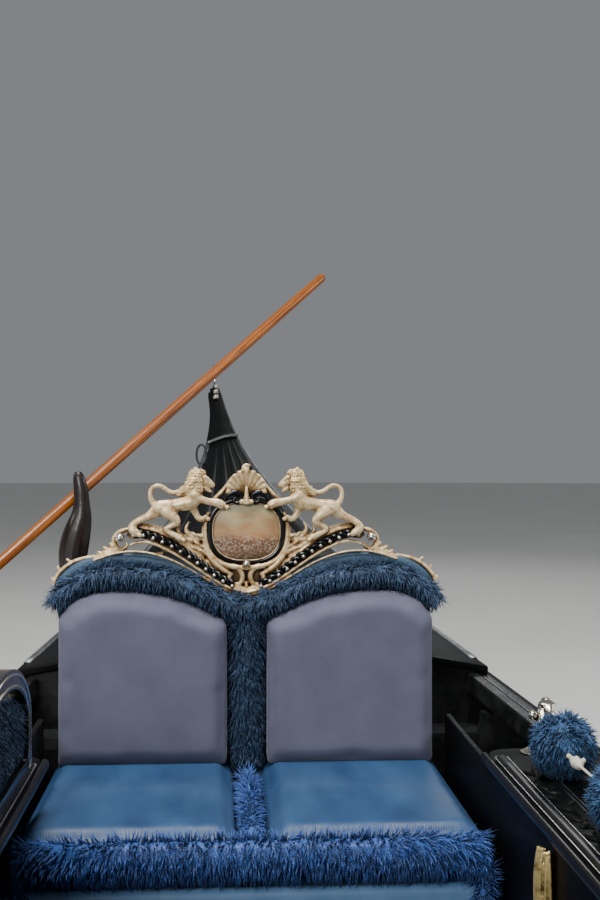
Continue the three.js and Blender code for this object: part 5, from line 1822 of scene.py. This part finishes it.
        parts = [tapered(rows, at, 3, 5) for rows in (self.horse_body, self.horse_curl)]
        for step in range(6):
            part = step / 5
            x, z = 28 - 16 * part, 74 + 34 * part
            parts.append(ball(at(x - 4 * math.sin(part * 3), z), 0.006))
        for step in range(7):
            turn = math.radians(200 - 26 * step)
            parts.append(ball(at(8 + 17 * math.cos(turn), 126 + 20 * math.sin(turn)), 0.005))
        fin = [at(-10, 88), at(-30, 104), at(-40, 96)]
        parts.append(drawn([Line(fin, (0.008, 0.007, 0.002))], 1.0, 2, 4))
        for out in (-8, 8):
            parts.append(ball(at(24, 136, out), 0.0035))
            leg = [at(14, 92, out), at(32, 90, out), at(42, 78, out)]
            parts.append(drawn([Line(leg, (0.006, 0.005, 0.003))], 1.0, 2, 4))
        foot = bmesh.new()
        bmesh.ops.create_cone(foot, segments=32, radius1=0.036, radius2=0.022, depth=0.012, cap_ends=True,
                              matrix=Matrix.Translation(base + Vector((-0.004, 0, 0.006))))
        parts.append(foot)
        name = "seahorse_" + self.side.word
        form = fused(parts, self.horse_melt, 1)
        for vert in form.verts:
            vert.co.y = base.y + (vert.co.y - base.y) * self.horse_wide
            vert.co.z = base.z + (vert.co.z - base.z) * self.horse_low
        new_piece(form, "cast_" + name, SILVERED, replaces=[name])
        inboard = -self.side.value * 26
        knob = [ball(at(-58, 13), 0.011, 3), ball(at(-58, 2), 0.008, 2), ball(at(8, 74, inboard), 0.009, 3)]
        stalk = [at(2, 60, inboard * 0.3), at(6, 64, inboard * 0.8), at(8, 74, inboard)]
        knob.append(drawn([Line(stalk)], 0.003))
        new_piece(joined(knob), "deck_knob_" + self.side.word, SILVERED)

    def add_bracket(self) -> None:
        """Carves the gilt upright bracket: ribbed acanthus, curled out at its top and foot."""
        name = "gilt_bracket_" + self.side.word
        low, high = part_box(name)
        face = high[1] if self.side is Side.PORT else low[1]
        middle = (low[0] + high[0]) / 2
        foot, rise = low[2] + 0.008, high[2] - low[2] - 0.016
        heart = [(middle, face - self.side.value * 0.010, foot + rise * part) for part, _ in self.swell[:-1]]
        parts = [drawn([Line(heart, [0.0150 * size for _, size in self.swell[:-1]])], 1.0, 3, 4)]
        for rib in range(-4, 5):
            drop = 0.002 * abs(rib - 1) + 0.004 * (rib % 2)
            rows = []
            for part, size in self.swell:
                turn = math.radians(rib * 21 + 4 * math.sin(9 * part + 2 * rib))
                along = middle + 0.0165 * size * math.sin(turn)
                inward = face - self.side.value * (0.004 + 0.022 * size * math.cos(turn))
                rows.append((along, inward, foot + (rise - drop) * part))
            parts.append(drawn([Line(rows, [0.0034 * size for _, size in self.swell])], 1.0, 2, 4))
            parts += [ball(rows[-1], 0.0034), ball(rows[0], 0.0034)]
        new_piece(fused(parts, self.bracket_melt, 0), "carved_" + name, GILT, replaces=[name])


# The side seat on the starboard side.


@dataclass(frozen=True)
class SideSeat:
    """The single side seat: stuffed velvet seat and back in a lacquered arch with silvered beads."""

    at: float = -0.11
    half: float = 0.27
    shoulder: float = 0.560
    peak: float = 0.682

    def build(self) -> None:
        """Makes the seat."""
        self.add_pads()
        self.add_frame()
        self.add_fur()

    def arch(self, inset: float, y: float) -> list[Point]:
        """Points round the arch, from its after foot to its fore foot.

        Args:
            inset: how far inside the arch's outline they lie.
            y: their place across the hull.

        Returns:
            The points.
        """
        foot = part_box("side_seat_back_frame")[0][2] + inset
        half, rise = self.half - inset, self.peak - self.shoulder - inset
        points = [(self.at - half, y, foot), (self.at - half, y, (foot + self.shoulder) / 2)]
        for step in range(25):
            turn = math.pi * (1 - step / 24)
            points.append((self.at + half * math.cos(turn), y, self.shoulder + rise * math.sin(turn)))
        return points + [(self.at + half, y, (foot + self.shoulder) / 2), (self.at + half, y, foot)]

    def add_frame(self) -> None:
        """Eases the arch's edges and lays two beads round its face."""
        bm = cad_copy("side_seat_back_frame")
        eased(bm, 0.007, 3)
        new_piece(bm, "side_seat_arch", HULL_GLOSS, angle=CRISP, replaces=["side_seat_back_frame"])
        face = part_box("side_seat_back_frame")[1][1] + 0.0005
        lines = [Line(self.arch(inset, face)) for inset in (0.009, 0.028)]
        new_piece(drawn(lines, 0.0023, 2), "side_seat_beads", BEAD_METAL)
        box = cad_copy("side_seat_box")
        eased(box, 0.004, 2)
        new_piece(box, "side_seat_chest", HULL_GLOSS, angle=CRISP, replaces=["side_seat_box"])

    def add_pads(self) -> None:
        """Stuffs the seat and the back."""
        name = "side_seat_cushion"
        seat = Stuffing(cap=0.018, rest_at=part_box(name)[0][2])
        piece = stuffed(name, "velvet_side_cushion", NAVY_VELVET, 0.005, seat)
        name = "side_seat_back_pad"
        back = Stuffing(voxel=0.007, cap=0.006, cuts=0, rest_axis=Axis.ACROSS, rest_at=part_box(name)[0][1])
        cover = back.fill(cut_small(name, 0.008))
        pelt = Pelt(length=0.014, radius=0.0021, per_area=26000, comb=(0.0, 0.3, -1.6), swirl=30, seed=47)
        pelt.grow(cover, "side_seat_back_pile", NAVY_FUR, replaces=[name])

    def add_fur(self) -> None:
        """Sews a short pile along the front edge of the cushion."""
        low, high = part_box("side_seat_cushion")
        edge = [(x, high[1] + 0.004, high[2] - 0.022) for x in (low[0] + 0.02, self.at, high[0] - 0.02)]
        pelt = Pelt(length=0.022, radius=0.0014, per_area=52000, comb=(0, 0.1, -0.5), seed=41)
        pelt.grow(oval_bar(edge, 0.008, 0.020), "side_seat_pile", NAVY_FUR)


# After deck, stern and bow.


@dataclass(frozen=True)
class Ends:
    """Ribs, metal strips and finials of the two decks, and the eased irons and posts."""

    ribs: tuple[float, ...] = (-0.8, -0.48, -0.16, 0.16, 0.48, 0.8)
    rib_start: float = -3.05
    rib_end: float = -5.12
    # The ribs' section where the hull is as wide as full_beam, and their share of it at the foot.
    rib_section: tuple[float, float] = (0.038, 0.013)
    full_beam: float = 0.36
    rib_foot: float = 0.3
    strip: float = 0.985
    band_at: float = -4.58

    def build(self) -> None:
        """Makes the dress of both ends."""
        self.add_ribs()
        self.add_strips()
        self.add_finials()
        for node in ("bow_iron", "stern_iron", "stem_post", "stern_post"):
            bm = cad_copy(node)
            eased(bm, 0.003, 2, 30)
            for vert in bm.verts:
                vert.co.y = HULL.tucked(vert.co.x, vert.co.y)
            finish = STEEL if "iron" in node else HULL_GLOSS
            new_piece(bm, "worked_" + node, finish, angle=CRISP, replaces=[node])

    def on_deck(self, x: float, across: float, above: float) -> Point:
        """A place on a deck, at a part of its half width."""
        half = HULL.beam(x) + 0.006
        return (x, HULL.tucked(x, HULL.centre(x) + across * half), HULL.deck_top(x, across) + above)

    def add_ribs(self) -> None:
        """Runs carved ribs up the after deck, meeting at the stern."""
        lines = []
        for across in self.ribs:
            xs = [self.rib_start + (self.rib_end - self.rib_start) * i / 20 for i in range(21)]
            widths = [(HULL.beam(x) - 0.01) / self.full_beam * (self.rib_foot if x == xs[0] else 1)
                      for x in xs]
            lines.append(Line([self.on_deck(x, across, -0.002) for x in xs], widths))
        new_piece(drawn(lines, 0, 3, 0, self.rib_section), "after_deck_ribs", DECK_GLOSS)

    def add_strips(self) -> None:
        """Nails plated strips along both decks' edges, and a band and a rope eye across the after deck."""
        lines = []
        for across in (-self.strip, self.strip):
            for start, end in ((-1.5, self.band_at + 0.03), (2.3, 5.12)):
                xs = [start + (end - start) * i / 30 for i in range(31)]
                lines.append(Line([self.on_deck(x, across, 0.001) for x in xs]))
        new_piece(drawn(lines, 0, 3, 0, (0.010, 0.0035)), "deck_strips", STRIP_METAL)
        across = [i / 10 for i in range(-10, 11)]
        band = [self.on_deck(self.band_at - 0.05 * a, a, 0.010) for a in across]
        new_piece(oval_bar(band, 0.008, 0.010), "after_deck_band", BAND_METAL)
        foot = Vector(self.on_deck(self.band_at + 0.30, -0.98, 0.0))
        loop = []
        for turn in (2 * math.pi * i / 20 for i in range(20)):
            back = 1 - math.cos(turn)
            loop.append(tuple(foot + Vector((-0.03 * back, -0.024 * math.sin(turn), 0.050 * back))))
        new_piece(drawn([Line(loop, closed=True)], 0.0055, 2), "deck_rope_eye", INNER_PAINT)

    def add_finials(self) -> None:
        """Turns the small balls on the stern, and a stack of balls for the lamp socket on the bow deck."""
        parts = []
        # Where a stack of balls stands, and the height and radius of each.
        stacks = ((self.on_deck(-5.06, -0.35, 0.004), ((0.012, 0.017), (0.044, 0.015), (0.072, 0.011))),
                  (self.on_deck(2.62, 0.0, 0.0), ((0.004, 0.030), (0.020, 0.018), (0.042, 0.022))))
        for (x, y, z), balls in stacks:
            parts += [ball((x, y, z + rise), radius, 3) for rise, radius in balls]
        new_piece(joined(parts), "deck_finials", SILVERED)


# The forcola and the oar.


@dataclass(frozen=True)
class Oar:
    """The long oar: a round loom drawn out to a narrow flat blade."""

    pivot: Point = (-2.058867, -0.522053, 0.8935)
    # Distance down the oar from the crutch, half width and half thickness.
    sections: tuple[Point, ...] = (
        (-1.380, 9, 9), (-1.377, 13, 13), (-1.368, 16, 16), (-1.080, 18, 18), (-0.4, 18, 18),
        (0.2, 17.5, 17.5), (0.9, 16, 16), (1.45, 15, 14), (1.66, 15, 12), (1.80, 20, 10.5),
        (1.98, 33, 9.5), (2.25, 47, 9), (2.55, 58, 8.5), (2.800, 65, 8), (2.815, 62, 6), (2.820, 55, 3),
    )
    facets: int = 32

    def build(self) -> None:
        """Draws the oar as one skin over its sections."""
        wide = (Vector((0, 0, 1)) - OAR_AXIS * OAR_AXIS.z).normalized()
        axes = Matrix((wide, OAR_AXIS.cross(wide), OAR_AXIS)).transposed().to_4x4()
        along = Matrix.Translation(self.pivot) @ axes
        bm = bmesh.new()
        rings = []
        for reach, half, thick in self.sections:
            shape = Matrix.Translation((0, 0, reach)) @ Matrix.Diagonal((half * MM, thick * MM, 1, 1))
            ends = reach in (self.sections[0][0], self.sections[-1][0])
            ring = bmesh.ops.create_circle(bm, segments=self.facets, radius=1, cap_ends=ends,
                                           matrix=along @ shape)["verts"]
            rings.append(list(dict.fromkeys(edge for vert in ring for edge in vert.link_edges)))
        for first, second in zip(rings, rings[1:]):
            bmesh.ops.bridge_loops(bm, edges=first + second)
        bmesh.ops.recalc_face_normals(bm, faces=bm.faces)
        new_piece(bm, "turned_oar", OAR_WOOD, "oar", CRISP, replaces=["oar"])


@dataclass(frozen=True)
class Forcola:
    """The walnut crutch: one carved crooked limb from its block to the round head."""

    x: float = -2.025
    y: float = -0.493
    # Share of the round limb's depth that is left below its waist, and what is added above it.
    slim: float = 0.66
    fuller: float = 0.14
    waist: float = 0.74
    waist_reach: float = 0.14
    # The limb's rows: y, z and half thickness.
    limb: tuple[Point, ...] = (
        (-2, 562, 32), (-10, 600, 32), (-22, 650, 38), (-26, 700, 44), (-20, 750, 47), (-8, 800, 42),
        (4, 840, 33), (4, 875, 25), (2, 915, 24), (-2, 945, 21), (-7, 965, 18), (-9, 978, 12),
    )

    def build(self) -> None:
        """Carves the crutch and eases its block."""
        bar = tapered(self.limb, lambda y, z: (self.x, self.y + y * MM, z * MM), 4, 6)
        form = fused([bar], 0.004, 4)
        for vert in form.verts:
            up = min(max((vert.co.z - self.waist) / self.waist_reach, 0.0), 1.0)
            vert.co.x = self.x + (vert.co.x - self.x) * (self.slim + self.fuller * up)
        new_piece(form, "carved_forcola", WALNUT, replaces=["forcola_leg", "forcola_head"])
        block = cad_copy("forcola_block")
        eased(block, 0.006, 3)
        new_piece(block, "eased_block", WALNUT, angle=CRISP, replaces=["forcola_block"])


def dress_nodes() -> None:
    """Gives every carried-over CAD node the finish of its slot in the record."""
    by_slot = {finish.slot: finish for finish in FINISHES}
    for row in frame["record"]["subparts"]:
        node = frame["nodes"][row["node"]]
        for place in node.material_slots:
            place.material = by_slot[row["material_slot"]].material
    log.info("%d nodes dressed", len(frame["nodes"]))


def main() -> None:
    """Builds the boat, sub-assembly by sub-assembly."""
    logging.basicConfig(level=logging.INFO, format="%(message)s")
    Studio().build()
    dress_nodes()
    HullSkin().build()
    Loveseat().build()
    Crest().build()
    for side in Side:
        CockpitSide(side).build()
    SideSeat().build()
    Ends().build()
    Forcola().build()
    Oar().build()


if __name__ == "__main__":
    main()
